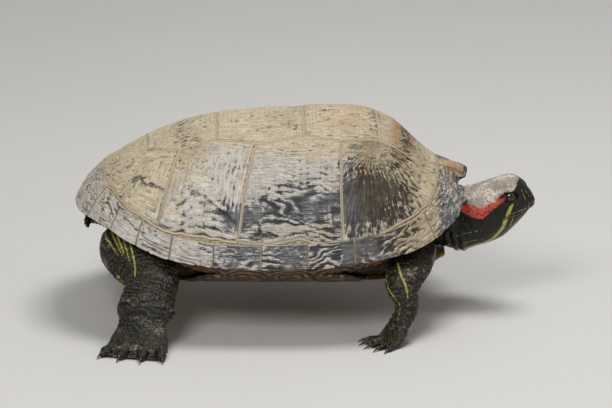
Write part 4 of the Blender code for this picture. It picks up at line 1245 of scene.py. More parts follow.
# ---- fused flesh ----
def trunk_slice(low, high):
    """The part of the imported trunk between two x, closed, in the shell's frame."""
    shape = bmesh.new()
    shape.from_mesh(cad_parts["trunk"].data)
    bmesh.ops.translate(shape, verts=shape.verts, vec=-Vector(SHELL_ORIGIN))
    bmesh.ops.remove_doubles(shape, verts=shape.verts, dist=1e-6)
    for x, sign in ((low, 1), (high, -1)):
        if x is None:
            continue
        bmesh.ops.bisect_plane(shape, geom=shape.verts[:] + shape.edges[:] + shape.faces[:],
                               plane_co=(x, 0, 0), plane_no=(-sign, 0, 0), clear_outer=True)
        edges = [e for e in shape.edges if e.is_boundary]
        bmesh.ops.holes_fill(shape, edges=edges)
    points = np.array([v.co for v in shape.verts])
    shape.verts.index_update()
    faces = [tuple(v.index for v in f.verts) for f in shape.faces]
    shape.free()
    return points, faces


def values_of(items, field, kind, width=1):
    """One field of all the items of a mesh's collection."""
    values = np.empty(len(items) * width, kind)
    items.foreach_get(field, values)
    return values


def fuse(parts, voxel, smoothing):
    """One surface round all the parts, its points in a fine even net."""
    mesh = outward_mesh("fuse", *merged(parts))
    obj = bpy.data.objects.new("fuse", mesh)
    bpy.context.scene.collection.objects.link(obj)
    remesh = obj.modifiers.new("net", "REMESH")
    remesh.mode = "VOXEL"
    remesh.voxel_size = voxel
    smooth = obj.modifiers.new("smooth", "SMOOTH")
    smooth.factor = 0.5
    smooth.iterations = smoothing
    made = obj.evaluated_get(bpy.context.evaluated_depsgraph_get()).to_mesh()
    points = values_of(made.vertices, "co", np.float32, 3).reshape(-1, 3).astype(float)
    corners = values_of(made.loops, "vertex_index", np.int32)
    sizes = values_of(made.polygons, "loop_total", np.int32)
    bpy.data.objects.remove(obj)
    bpy.data.meshes.remove(mesh)
    return points, [tuple(face.tolist()) for face in np.split(corners, np.cumsum(sizes)[:-1])]


def point_normals(points, faces):
    """Smooth directions out of a surface at its points."""
    quads = np.array([f if len(f) == 4 else (*f, f[2]) for f in faces])
    a, b, c, d = (points[quads[:, i]] for i in range(4))
    flat = np.cross(c - a, d - b)
    total = np.zeros_like(points)
    for i in range(4):
        np.add.at(total, quads[:, i], flat)
    return unit(total)


def plan_depth(points):
    """How far each point lies inside the rim, and the rim's angle nearest to it."""
    angles = np.arange(-180.0, 180.0, 0.5)
    rim = rim_point(angles)
    nearest = np.empty(len(points), int)
    for start in range(0, len(points), 20000):
        part = points[start:start + 20000, None, :2] - rim[None, :, :2]
        nearest[start:start + 20000] = np.argmin((part**2).sum(axis=2), axis=1)
    angle = angles[nearest]
    _, out = rim_frame(angle)
    return np.sum((rim[nearest] - points) * out, axis=1), angle


def keep_clear(points):
    """Flesh pressed clear of the plastron, the rim's underside and the dome."""
    points = points.copy()
    x, y = points[:, 0], np.abs(points[:, 1])
    lobe = bridge_reach(np.clip(x, REAR_TIP, FRONT_TIP))
    over = (1 - ease(lobe - 0.0005, lobe + 0.0035, y)) * (1 - ease(FRONT_TIP, FRONT_TIP + 0.003, x))
    over *= 1 - ease(-REAR_TIP, -REAR_TIP + 0.003, -x)
    top = plastron_floor(x, y) + PLASTRON_THICKNESS - 0.0004
    points[:, 2] = np.where(points[:, 2] < top, points[:, 2] + (top - points[:, 2]) * over, points[:, 2])
    depth, angle = plan_depth(points)
    rim = rim_point(angle)[:, 2]
    share = np.clip(depth / under_depth(angle), 0, 1)
    roof = rim - RIM_CLEARANCE + (rim_drop(angle) + 0.0026) * share
    under = (depth > 0) & (depth < under_depth(angle) + 0.001) & (points[:, 2] < rim + 0.012)
    points[:, 2] = np.where(under & (points[:, 2] > roof), roof, points[:, 2])
    ceiling = dome_height(x, points[:, 1]) - DOME_CLEARANCE
    inside = depth > under_depth(angle)
    points[:, 2] = np.where(inside, np.minimum(points[:, 2], ceiling), points[:, 2])
    return points


def on_limbs(paths, points):
    """Each point's run along the nearest path, and its distance out from it in radii."""
    tables = {key: np.concatenate([path[key] for path in paths]) for key in paths[0]}
    tree = point_tree(tables["centre"])
    index = np.array([tree.find(p)[1] for p in points])
    here = {key: values[index] for key, values in tables.items()}
    offset = points - here["centre"]
    u = np.sum(offset * here["across"], axis=1) / here["wide"]
    v = np.sum(offset * here["thick"], axis=1) / here["deep"]
    return here["run"] + np.sum(offset * here["forward"], axis=1), np.hypot(u, v)


# ---- markings ----
# Yellow lines of the legs and rump as rows of (x, distance out, z) with a half width.
LEG_STRIPES = {
    "fore": (
        (0.00050, ((0.0736, 0.0634, -0.0038), (0.0705, 0.0720, -0.0085), (0.0722, 0.0790, -0.0150),
                   (0.0787, 0.0839, -0.0237), (0.0770, 0.0880, -0.0330))),
        (0.00060, ((0.0777, 0.0700, -0.0010), (0.0795, 0.0780, -0.0060), (0.0825, 0.0830, -0.0125),
                   (0.0842, 0.0849, -0.0200))),
        (0.00045, ((0.0890, 0.0620, -0.0060), (0.0925, 0.0730, -0.0110), (0.0918, 0.0780, -0.0180))),
        (0.00045, ((0.0800, 0.0600, -0.0200), (0.0780, 0.0690, -0.0230), (0.0790, 0.0720, -0.0290)))),
    "hind": (
        (0.00065, ((-0.0600, 0.0640, 0.0010), (-0.0556, 0.0690, -0.0085), (-0.0552, 0.0750, -0.0150),
                   (-0.0560, 0.0800, -0.0210), (-0.0575, 0.0850, -0.0280), (-0.0585, 0.0900, -0.0350))),
        (0.00062, ((-0.1012, 0.0300, 0.0085), (-0.1007, 0.0400, 0.0064), (-0.0971, 0.0542, 0.0051),
                   (-0.0918, 0.0672, 0.0012))),
        (0.00050, ((-0.0985, 0.0380, 0.0102), (-0.0966, 0.0480, 0.0094), (-0.0933, 0.0583, 0.0062),
                   (-0.0893, 0.0687, 0.0016))),
        (0.00060, ((-0.0950, 0.0394, 0.0110), (-0.0934, 0.0518, 0.0094), (-0.0907, 0.0623, 0.0061),
                   (-0.0874, 0.0708, 0.0010))),
        (0.00052, ((-0.0911, 0.0477, 0.0115), (-0.0896, 0.0560, 0.0087), (-0.0875, 0.0662, 0.0054),
                   (-0.0849, 0.0742, -0.0006))),
        (0.00062, ((-0.0872, 0.0529, 0.0104), (-0.0852, 0.0623, 0.0074), (-0.0831, 0.0717, 0.0025),
                   (-0.0818, 0.0790, -0.0030), (-0.0815, 0.0830, -0.0100))),
        (0.00095, ((-0.0890, 0.0600, -0.0150), (-0.0905, 0.0690, -0.0100), (-0.0890, 0.0740, -0.0150))),
        (0.00060, ((-0.0640, 0.0560, -0.0180), (-0.0600, 0.0660, -0.0220), (-0.0600, 0.0740, -0.0290)))),
}
TAIL_STRIPES = (
    (0.0010, ((-0.0930, -0.0095, 0.0040), (-0.0980, -0.0092, 0.0050), (-0.1040, -0.0095, 0.0062),
              (-0.1090, -0.0120, 0.0055), (-0.1120, -0.0165, 0.0040))),
    (0.0008, ((-0.0950, -0.0080, 0.0120), (-0.1020, -0.0085, 0.0120), (-0.1075, -0.0110, 0.0105),
              (-0.1105, -0.0170, 0.0080))),
    (0.0010, ((-0.0950, 0.0080, 0.0120), (-0.1040, 0.0040, 0.0130), (-0.1120, -0.0040, 0.0110),
              (-0.1150, -0.0130, 0.0080))))


def sampled(points, step=0.0006):
    """A smooth run through a few points, in short steps."""
    rows = np.array(points, float)
    t = run_lengths(rows)
    return along(np.column_stack([t, rows]), np.linspace(0, t[-1], max(3, int(t[-1] / step))))


def stripe_mask(points, lines, tree):
    """Share of stripe colour at points, from lines laid on a surface."""
    spots, widths = [], []
    for width, line in lines:
        run = sampled(line)
        t = np.linspace(0, 1, len(run))
        tapers = 0.35 + 0.65 * np.sin(np.pi * np.clip(t * 0.9 + 0.08, 0, 1))**0.5
        for spot, taper in zip(run, tapers):
            found = tree.find_nearest(spot)[0]
            if found is not None:
                spots.append(found)
                widths.append(width * taper)
    near = point_tree(spots)
    cover = np.zeros(len(points))
    wobble = (layered(points, 0.0022, 2, 611) - 0.5) * 0.0005
    low, high = np.min(spots, axis=0) - 0.003, np.max(spots, axis=0) + 0.003
    for i in np.where(np.all((points > low) & (points < high), axis=1))[0]:
        _, index, distance = near.find(points[i])
        width = widths[index]
        cover[i] = 1 - min(max((distance + wobble[i] - width * 0.75) / (width * 0.6), 0.0), 1.0)
    return cover


def leg_lines():
    """Every stripe of legs, rump and tail in the shell's frame."""
    lines = list(TAIL_STRIPES)
    for kind, shift in (("fore", FOREFOOT_SHIFT), ("hind", HINDFOOT_SHIFT)):
        for side, word in ((-1, "right"), (1, "left")):
            for width, line in LEG_STRIPES[kind]:
                moved = [(x + shift[word] * ease(0.005, -0.03, z), side * out, z) for x, out, z in line]
                lines.append((width, moved))
    return lines


# ---- head ----
HEAD_BASE = np.array([0.1205, 0.0, 0.0065])
HEAD_YAW, HEAD_ROLL = math.radians(-8), math.radians(8)
# Profile by distance ahead of the base: top, bottom, half width.
HEAD_PROFILE = ((0.0, 0.0190, -0.0192, 0.0195), (0.0100, 0.0232, -0.0160, 0.0188),
                (0.0180, 0.0262, -0.0132, 0.0178), (0.0250, 0.0286, -0.0094, 0.0156),
                (0.0300, 0.0296, -0.0048, 0.0134), (0.0340, 0.0276, -0.0004, 0.0114),
                (0.0380, 0.0236, 0.0044, 0.0090), (0.0410, 0.0200, 0.0084, 0.0066),
                (0.0430, 0.0168, 0.0112, 0.0042), (0.0438, 0.0152, 0.0126, 0.0020))
SNOUT_TIP = (0.0442, 0.0, 0.0139)
NECK = ((0.078, 0.0010, 0.0170, 0.0140), (0.086, 0.0030, 0.0180, 0.0150),
        (0.097, 0.0062, 0.0195, 0.0165), (0.106, 0.0075, 0.0200, 0.0172),
        (0.1135, 0.0070, 0.0205, 0.0188))
EYE_RADIUS = 0.0046
EYE_PLACE = np.array([0.0298, 0.0090, 0.0196])
EYE_AXIS = unit(np.array([0.22, 0.93, 0.26]))
MOUTH = ((0.0200, -0.0020), (0.0240, 0.0035), (0.0268, 0.0063), (0.0310, 0.0082), (0.0380, 0.0096),
         (0.0470, 0.0106))
# Red patch behind the eye: distance ahead, height, half width.
EAR_PATCH = ((0.0010, 0.0128, 0.0016), (0.0055, 0.0122, 0.0030), (0.0118, 0.0116, 0.0040),
             (0.0160, 0.0140, 0.0034), (0.0215, 0.0172, 0.0022), (0.0262, 0.0192, 0.0009))
HEAD_STRIPES = (
    (0.00140, ((0.0322, 0.0118, 0.0168), (0.0300, 0.0135, 0.0120), (0.0282, 0.0139, 0.0076),
               (0.0258, 0.0140, 0.0021), (0.0220, 0.0137, -0.0036), (0.0175, 0.0123, -0.0085),
               (0.0112, 0.0116, -0.0118), (0.0030, 0.0120, -0.0145), (-0.0060, 0.0130, -0.0160))),
    (0.00045, ((0.0318, 0.0120, 0.0060), (0.0308, 0.0112, 0.0030), (0.0296, 0.0095, 0.0000))),
    (0.00018, ((0.0360, 0.0065, 0.0240), (0.0390, 0.0072, 0.0165), (0.0385, 0.0080, 0.0115))),
    (0.00018, ((0.0385, 0.0040, 0.0222), (0.0412, 0.0050, 0.0165), (0.0405, 0.0062, 0.0118))),
    (0.00016, ((0.0355, 0.0095, 0.0195), (0.0345, 0.0108, 0.0140), (0.0352, 0.0100, 0.0100))),
    (0.00035, ((0.0350, 0.0085, 0.0060), (0.0320, 0.0080, 0.0010), (0.0270, 0.0075, -0.0050),
               (0.0190, 0.0065, -0.0110), (0.0090, 0.0050, -0.0150))),
    (0.00045, ((0.0370, 0.0010, 0.0030), (0.0300, 0.0010, -0.0050), (0.0220, 0.0010, -0.0110),
               (0.0120, 0.0010, -0.0160), (0.0000, 0.0010, -0.0200))),
    (0.00022, ((0.0140, 0.0180, 0.0010), (0.0070, 0.0185, -0.0010), (-0.0010, 0.0195, -0.0030),
               (-0.0080, 0.0200, -0.0050))),
    (0.00022, ((0.0150, 0.0150, -0.0060), (0.0060, 0.0165, -0.0080), (-0.0060, 0.0170, -0.0110))),
    (0.00035, ((0.0050, 0.0110, 0.0200), (-0.0030, 0.0150, 0.0160), (-0.0100, 0.0160, 0.0130))),
)


# Rotation of the head's own frame in the shell's.
HEAD_TURN = np.array(Matrix.Rotation(HEAD_YAW, 3, "Z") @ Matrix.Rotation(HEAD_ROLL, 3, "X"))


def from_head(points):
    """Points of the head's frame in the shell's."""
    return np.asarray(points) @ HEAD_TURN.T + HEAD_BASE


def to_head(points):
    """Points of the shell's frame in the head's."""
    return (np.asarray(points) - HEAD_BASE) @ HEAD_TURN


def head_ray(tree, start, aim):
    """Where a ray in the head's frame meets a surface: its start and its way in the
    shell's frame, and the distance, or None if it misses."""
    origin = from_head(start[None])[0]
    ray = from_head((start + aim)[None])[0] - origin
    return origin, ray, tree.ray_cast(Vector(origin), Vector(ray))[3]


def head_ring(x, top, bottom, half_wide, turns):
    """Cross-section of the head: broad above the cheek, narrower below."""
    middle = bottom + (top - bottom) * 0.46
    c, s = np.cos(turns), np.sin(turns)
    y = half_wide * np.sign(c) * np.abs(c) ** 0.85
    z = middle + np.where(s > 0, top - middle, middle - bottom) * s
    return np.column_stack([np.full_like(y, x), y, z])


def line_distance(x, z, line):
    """Distance in a side view to a line of (x, z, ...) and the share along it."""
    best, share = np.full(len(x), np.inf), np.zeros(len(x))
    rows = np.array(line, float)
    for i, (a, b) in enumerate(zip(rows, rows[1:])):
        span = b[:2] - a[:2]
        t = np.clip(((x - a[0]) * span[0] + (z - a[1]) * span[1]) / (span @ span), 0, 1)
        d = np.hypot(x - a[0] - span[0] * t, z - a[1] - span[1] * t)
        closer = d < best
        best = np.where(closer, d, best)
        share = np.where(closer, i + t, share)
    return best, share


# Forms on the side of the head: distance ahead, height.
BROW = ((0.0225, 0.0262), (0.0300, 0.0268), (0.0375, 0.0226))
SOCKET, TEMPLE = (0.0300, 0.0195), (0.0170, 0.0190)
CHEEK, DRUM = (0.0165, 0.0005), (0.0105, 0.0050)
NOSTRIL = (0.0432, 0.0020, 0.0160)           # distance ahead, distance out, height
# Folds and creases where the neck meets the head: distance ahead, height, half width.
NECK_FOLDS = ((0.0012, 0.0007, 0.0014), (-0.0030, 0.0010, 0.0019), (-0.0078, 0.0009, 0.0018),
              (-0.0010, -0.0006, 0.0009), (-0.0056, -0.0008, 0.0009))


def head_relief(h):
    """Height of the head's forms at points in its own frame."""
    x, y, z = h[:, 0], np.abs(h[:, 1]), h[:, 2]
    total = np.zeros(len(h))
    on_side = ease(0.0030, 0.0060, y)
    brow, _ = line_distance(x, z, BROW)
    total += 0.0009 * np.exp(-(brow / 0.0016)**2) * on_side
    socket = np.hypot(x - SOCKET[0], z - SOCKET[1])
    total -= 0.0010 * np.exp(-(socket / 0.0064)**2) * ease(0.004, 0.008, y)
    cheek = np.hypot((x - CHEEK[0]) / 0.0085, (z - CHEEK[1]) / 0.0075)
    total += 0.0011 * np.exp(-cheek**2) * on_side
    temple = np.hypot((x - TEMPLE[0]) / 0.0070, (z - TEMPLE[1]) / 0.0040)
    total -= 0.0005 * np.exp(-temple**2) * on_side
    drum = np.hypot(x - DRUM[0], z - DRUM[1])
    drum_rim = 0.00012 * np.exp(-((drum - 0.0036) / 0.0010)**2)
    total += (drum_rim - 0.00016 * (1 - ease(0.0020, 0.0036, drum))) * on_side
    lip = z - along(MOUTH, np.clip(x, 0.0200, 0.0470))
    in_mouth = ease(0.0228, 0.0262, x)
    total += in_mouth * (0.00050 * np.exp(-((lip - 0.0011) / 0.0009)**2)
                         - 0.00085 * np.exp(-(lip / 0.00040)**2)
                         - 0.00020 * np.exp(-((lip + 0.0012) / 0.0010)**2))
    nostril = np.sqrt((x - NOSTRIL[0])**2 + (y - NOSTRIL[1])**2 + (z - NOSTRIL[2])**2)
    total -= 0.0011 * np.exp(-(nostril / 0.00075)**2)
    turn = np.column_stack([np.arctan2(z, h[:, 1]), x * 0, x * 0])
    sway = (layered(turn, 0.8, 3, 640) - 0.5) * 0.0075
    patchy = ease(0.30, 0.65, layered(turn + np.outer(x, (0, 90, 0)), 0.7, 2, 641))
    for fold_x, high, wide in NECK_FOLDS:
        total += high * patchy * np.exp(-((x + sway - fold_x) / wide)**2)
    return total


def head_tube():
    """Neck and head as points in the shell's frame, and their faces."""
    columns = 260
    turns = ring_steps(columns)
    rings = [head_ring(x, z + deep, z - deep, wide, turns) for x, z, wide, deep in NECK]
    rings += [from_head(head_ring(*row, turns)) for row in HEAD_PROFILE]
    t = run_lengths(np.array([ring.mean(axis=0) for ring in rings]))
    cheek = t[-1] * 0.42
    shares = np.concatenate([np.linspace(0, cheek, 60)[:-1], np.linspace(cheek, t[-1], 150)])
    table = np.column_stack([t, np.array([ring.ravel() for ring in rings])])
    grid = along(table, shares).reshape(len(shares), columns, 3)
    tip = from_head([SNOUT_TIP])[0]
    near_tip = tip + (grid[-1] - tip) * 0.55
    near_tip += (from_head([[1, 0, 0]]) - from_head([[0, 0, 0]]))[0] * 0.0001
    grid = np.concatenate([grid, near_tip[None]], axis=0)
    around = np.roll(grid, -1, axis=1) - np.roll(grid, 1, axis=1)
    normal = unit(np.cross(around, np.gradient(grid, axis=0))).reshape(-1, 3)
    points = grid.reshape(-1, 3)
    h = to_head(points)
    outward = np.sum(normal * (points - np.repeat(grid.mean(axis=1), columns, axis=0)), axis=1)
    normal *= np.sign(np.median(outward))
    relief = head_relief(h)
    on_neck = 1 - ease(0.0, 0.0070, h[:, 0])
    round_run = np.column_stack([h[:, 0], np.arctan2(h[:, 2], h[:, 1]) * 0.018, h[:, 0] * 0])
    wrinkle = folds(layered(round_run, (0.0018, 0.0050, 1.0), 3, 650)) - 0.6
    pebble = folds(layered(points, 0.0016, 2, 655)) - 0.6
    relief += wrinkle * 0.00075 * on_neck + pebble * 0.00020 * (0.35 + 0.65 * on_neck)
    relief += (layered(points, 0.0060, 2, 660) - 0.5) * 0.0005 * (1 - 0.5 * on_neck)
    relief *= ease(0.0, 0.004, np.repeat([*shares, shares[-1]], columns))
    grid = (points + normal * relief[:, None]).reshape(grid.shape)
    return closed_grid(grid, [grid[0].mean(axis=0), tip])


def eye_frame(side):
    """Centre of an eye and its forward, upward and outward directions, in the head's frame."""
    outward = EYE_AXIS * (1, side, 1)
    ahead = np.array([1.0, 0.0, 0.16])
    forward = unit(ahead - outward * np.dot(ahead, outward))
    upward = np.cross(outward, forward) * -side
    upward *= np.sign(upward[2])
    return EYE_PLACE * (1, side, 1), forward, upward, outward


LID_POINTS = 96
# Rows of an eyelid from inside the eye's opening out to the head, as shares of the way.
LID_SHARES = (-0.16, -0.06, 0.0, 0.05, 0.11, 0.18, 0.26, 0.34, 0.43, 0.52, 0.62, 0.72, 0.82, 0.92, 1.0)
LID_GAP = 0.00065            # from the eye's radius to the lid
LID_OPENING = (0.0046, 0.0031, 0.0027)       # half length, half height above and below
LID_REACH = (0.0078, 0.0064)                 # half length and half height of the lids


def lid_patch(side, tree):
    """Eyelids: a ring-shaped patch from the eye's opening out to the head's surface."""
    centre, forward, upward, outward = eye_frame(side)
    around = ring_steps(LID_POINTS)
    c, s = np.cos(around), np.sin(around)
    long, high, low = LID_OPENING
    open_u = long * np.sign(c) * np.abs(c)**0.80
    open_v = np.where(s > 0, high, low) * np.sign(s) * np.abs(s)**1.10
    rows = []
    for share in LID_SHARES:
        t = max(share, 0.0)
        u = open_u + (LID_REACH[0] * c - open_u) * t
        v = open_v + (LID_REACH[1] * s - open_v) * t
        if share < 0:
            lid = np.sqrt(np.maximum(EYE_RADIUS**2 - u**2 - v**2, 0)) + LID_GAP + share * 0.0090
        else:
            off_axis = np.minimum(u**2 + v**2, EYE_RADIUS**2 * 0.9)
            lid = np.sqrt(np.maximum((EYE_RADIUS + LID_GAP)**2 - off_axis, 0))
            lid = lid + 0.00022 * math.exp(-((share - 0.10) / 0.07)**2) + 0.00016 * math.sin(share * 26)
        head_side = lid.copy()
        for i in range(LID_POINTS):
            start = centre + forward * u[i] + upward * v[i] + outward * 0.02
            distance = head_ray(tree, start, -outward)[2]
            if distance is not None:
                head_side[i] = 0.02 - distance
        merge = ease(0.30, 0.95, t)
        w = lid * (1 - merge) + (head_side + 0.00015 - 0.00045 * ease(0.8, 1.0, t)) * merge
        rows.append(centre + np.outer(u, forward) + np.outer(v, upward) + np.outer(w, outward))
    inner = [row - outward * 0.0011 for row in rows[::-3]]
    total = len(rows) + len(inner)
    faces = grid_faces(total, LID_POINTS, True)
    last = (total - 1) * LID_POINTS
    faces += [(last + i, last + (i + 1) % LID_POINTS, (i + 1) % LID_POINTS, i) for i in range(LID_POINTS)]
    return from_head(np.vstack(rows + inner)), faces


# Lower edge of the pale crown: distance ahead, height.
CROWN_EDGE = ((-0.012, 0.0160), (0.0040, 0.0165), (0.0146, 0.0172), (0.0226, 0.0200), (0.0260, 0.0236),
              (0.0330, 0.0250), (0.0400, 0.0300))


def head_masks(points):
    """Masks of the head's colours for points in the shell's frame."""
    h = to_head(points)
    x, y, z = h[:, 0], np.abs(h[:, 1]), h[:, 2]
    jitter = (layered(points, 0.0020, 2, 670) - 0.5) * 0.0012
    distance, share = line_distance(x, z, EAR_PATCH)
    width = np.interp(share, np.arange(len(EAR_PATCH)), [row[2] for row in EAR_PATCH])
    red = (1 - ease(-0.0004, 0.0005, distance - width + jitter)) * ease(0.004, 0.007, y)
    ragged = (layered(points, 0.0034, 3, 672) - 0.5) * 0.0050
    over = z - along(CROWN_EDGE, np.clip(x, -0.012, 0.040)) + ragged
    pale = ease(-0.0012, 0.0016, over) * ease(-0.0060, 0.0010, x)
    pale *= 1 - ease(0.0325, 0.0352, x + ragged * 0.6)
    haze = ease(-0.0052, -0.0002, over) * ease(0.0010, 0.0050, x) * (1 - ease(0.020, 0.026, x))
    return red, np.maximum(pale, 0.66 * haze)


# ---- skin ----
class SkinSettings(bpy.types.PropertyGroup):
    """Sizes and colours of the skin and its scales."""

    voxel: bpy.props.FloatProperty(
        name="Net", description="Distance between the points of the skin on legs and tail",
        default=0.00065, min=0.0004, subtype="DISTANCE", unit="LENGTH")
    fold: bpy.props.FloatProperty(
        name="Folds", description="Height of the folds across a leg",
        default=0.00055, min=0.0, subtype="DISTANCE", unit="LENGTH")
    scale_row: bpy.props.FloatProperty(
        name="Scale rows", description="Distance between two rows of scales on a leg",
        default=0.00185, min=0.0008, subtype="DISTANCE", unit="LENGTH")
    skin: bpy.props.FloatVectorProperty(
        name="Skin", description="Colour of the skin",
        default=(0.0084, 0.0081, 0.0052), size=3, min=0.0, max=1.0, subtype="COLOR")
    stripe: bpy.props.FloatVectorProperty(
        name="Stripes", description="Colour of the lines on head and legs",
        default=(0.48, 0.45, 0.080), size=3, min=0.0, max=1.0, subtype="COLOR")
    ear: bpy.props.FloatVectorProperty(
        name="Ear patch", description="Colour of the patch behind the eye",
        default=(0.54, 0.055, 0.036), size=3, min=0.0, max=1.0, subtype="COLOR")
    dust: bpy.props.FloatVectorProperty(
        name="Crown dust", description="Colour of the dry film on the crown",
        default=(0.72, 0.65, 0.54), size=3, min=0.0, max=1.0, subtype="COLOR")


def markings_group():
    """Skin colours from their masks: dark skin, painted shade in creases, lines, ear patch and dry film.
    """
    def fill(tree, given):
        tone = speckle(tree, 420.0, 4.0, 0.6)
        fine = speckle(tree, 1300.0, 4.0, 0.65)
        patches = speckle(tree, 95.0, 4.0, 0.6)
        # The Crease input darkens the skin with painted shade.
        skin = layers(tree, given["Skin"], (between(tree, tone, 0.36, 0.64), 1, given["Skin Light"]),
                      (between(tree, patches, 0.48, 0.66), 1, given["Skin Warm"]),
                      (given["Crease"], 0.80, (0.004, 0.004, 0.003)))
        line = layers(tree, given["Line"], (between(tree, tone, 0.40, 0.62), 1, (0.34, 0.31, 0.055)),
                      (between(tree, fine, 0.56, 0.72), 1, (0.16, 0.15, 0.03)))
        ear = layers(tree, given["Ear"], (between(tree, tone, 0.42, 0.66), 1, (0.17, 0.014, 0.010)),
                     (between(tree, fine, 0.52, 0.66), 1, (0.66, 0.17, 0.12)))
        film = layers(tree, given["Film"], (between(tree, patches, 0.46, 0.56), 1, (0.38, 0.345, 0.31)),
                      (between(tree, fine, 0.49, 0.41), 1, (0.20, 0.17, 0.135)),
                      (between(tree, tone, 0.55, 0.62), 1, (0.30, 0.235, 0.165)))
        level = plus(tree, given["Dry"], swing(tree, tone, 1.1), swing(tree, fine, 1.2),
                     swing(tree, patches, 0.9))
        dry = between(tree, level, 0.34, 0.70)
        colour = layers(tree, skin, (between(tree, given["Stripe"], 0.25, 0.75), 1, line),
                        (between(tree, given["Red"], 0.3, 0.7), 1, ear), (dry, 0.94, film))
        rough = plus(tree, mix_values(tree, dry, given["Gloss"], 0.66), swing(tree, tone, 0.30))
        return {"Color": colour, "Roughness": rough}
    return group_of("skin_markings", ("Skin", "Skin Light", "Skin Warm", "Line", "Ear", "Film"),
                    ("Crease", "Stripe", "Red", "Dry", "Gloss"),
                    (("Color", COLOUR), ("Roughness", VALUE)), fill)


def skin_material(name, light, gloss, pebbles):
    """Skin or scales: the same markings, with their own shine and grain; light scales the skin colour, and
    the scales' larger share is painted highlight on their rows.
    """
    settings = bpy.context.scene.turtle_skin
    base = shaded(settings.skin, light)
    material, tree, shader = new_material(name)
    marked = new_node(tree, "ShaderNodeGroup", {
        "Skin": base, "Skin Light": shaded(base, 1.9), "Skin Warm": shaded(base, 1.9, 1.4, 0.9),
        "Line": settings.stripe, "Ear": settings.ear, "Film": settings.dust,
        "Crease": mask(tree, "crease"), "Stripe": mask(tree, "stripe"), "Red": mask(tree, "red"),
        "Dry": mask(tree, "dry"), "Gloss": gloss}, node_tree=markings_group()).outputs
    space = new_node(tree, "ShaderNodeTexCoord").outputs["Object"]
    cells = new_node(tree, "ShaderNodeTexVoronoi", {"Vector": space, "Scale": pebbles},
                     feature="SMOOTH_F1").outputs[0]
    height = plus(tree, speckle(tree, pebbles * 1.4, 3.0), times(tree, cells, -0.8))
    connect(tree, shader, Base_Color=marked["Color"], Roughness=marked["Roughness"],
            Normal=bump_of(tree, height, 0.0003, 0.55))
    shader.inputs["Specular IOR Level"].default_value = 0.30
    return material


def build_skin():
    """Arrays of the skin of legs and tail and what the scales need to lie on it."""
    limbs = turtle_limbs()
    settings = bpy.context.scene.turtle_skin
    bodies = []
    for kind, span in (("fore", (0.048, None)), ("hind", (None, -0.040))):
        own = {name: limb for name, limb in limbs.items() if name.startswith(kind)}
        paths = [path for limb in own.values()
                 for path in (limb["leg"], limb["palm"], limb["web"], *limb["toes"])]
        if kind == "hind":
            tail = [(x, y, z, r - COAT, r * 0.88 - COAT) for x, y, z, r in TAIL]
            paths.append(tube_path(tail, (0, 0, 1)))
        points, faces = fuse([trunk_slice(*span)] + [tube_mesh(path) for path in paths], settings.voxel, 5)
        points = keep_clear(points)
        normal = point_normals(points, faces)
        run, out = on_limbs(paths, points)
        fold = crests(run / FOLD_SPACING + 3.5 * layered(points, 0.0110, 2, 701)) - FOLD_MEAN
        pleat = folds(layered(points, (0.0050, 0.0050, 0.0080), 2, 705)) - PLEAT_MEAN
        near_floor = ease(FLOOR + 0.0010, FLOOR + 0.0060, points[:, 2])
        pocket = ease(1.15, 1.8, out)
        height = settings.fold * fold * (1 - pocket) + PLEAT_HEIGHT * pleat * pocket
        height *= near_floor * ease(FLOOR + 0.002, FLOOR + 0.012, points[:, 2])**0.5
        wave = fold * (1 - pocket) + pleat * pocket
        points = keep_clear(points + normal * height[:, None])
        points[:, 2] = np.maximum(points[:, 2], FLOOR)
        tree = surface_tree(points, faces)
        lines = [line for line in leg_lines() if (line[1][0][0] > 0) == (kind == "fore")]
        # crease: painted shade in the troughs of the folds and pleats.
        bodies.append({"points": points, "faces": faces, "tree": tree, "limbs": own, "lines": lines,
                       "stripe": stripe_mask(points, lines, tree),
                       "crease": np.clip(0.62 - (wave + FOLD_MEAN) * 1.2, 0, 1)})
    return limbs, bodies


def leg_dust(points):
    """Thin patches of dried mud on legs and tail."""
    return 0.33 * ease(0.42, 0.66, layered(points, (0.0120, 0.0120, 0.0022), 3, 905))


def make_skin(material):
    """One skin: head and neck, forelegs and hind legs with the tail."""
    limbs, bodies = build_skin()
    head = head_tube()
    tree = surface_tree(*head)
    parts = [head, lid_patch(1, tree), lid_patch(-1, tree)]
    lines = [(width, from_head(np.array(line) * (1, side, 1)))
             for width, line in HEAD_STRIPES for side in (1, -1)]
    masks = []
    for points, _ in parts:
        red, pale = head_masks(points)
        # Painted shade in creases on the neck behind the head.
        dark = folds(layered(points, 0.0030, 2, 720)) * 0.35
        crease = np.clip(dark * ease(-0.002, -0.006, to_head(points)[:, 0]), 0, 1)
        masks.append((stripe_mask(points, lines, tree) * (1 - red), red, pale, crease))
    for body in bodies:
        points = body["points"]
        masks.append((body["stripe"], np.zeros(len(points)), leg_dust(points), body["crease"]))
        parts.append((points, body["faces"]))
    masks = dict(zip(("stripe", "red", "dry", "crease"), np.hstack(masks)))
    flesh = ["trunk", "neck", "tail", "head", "lower_jaw"]
    flesh += [f"{part}_{word}" for part in ("foreleg", "forefoot", "hindleg", "hindfoot")
              for word in ("right", "left")]
    make_piece("skin", *merged(parts), material, masks, "skin", flesh)
    return limbs, bodies


# ---- scales ----
SCALE_SIDES = 9
SCALE_SHADE = (0.95, 0.25, 0.0, 1.0)      # painted shade of a scale's base ring, top ring, top and base
OFBAKE_PATCH = 0.003                     # size of a scale's patch on the skin's unwrap
LEG_SCALE, FOOT_SCALE = 0.00030, 0.00024     # thickness


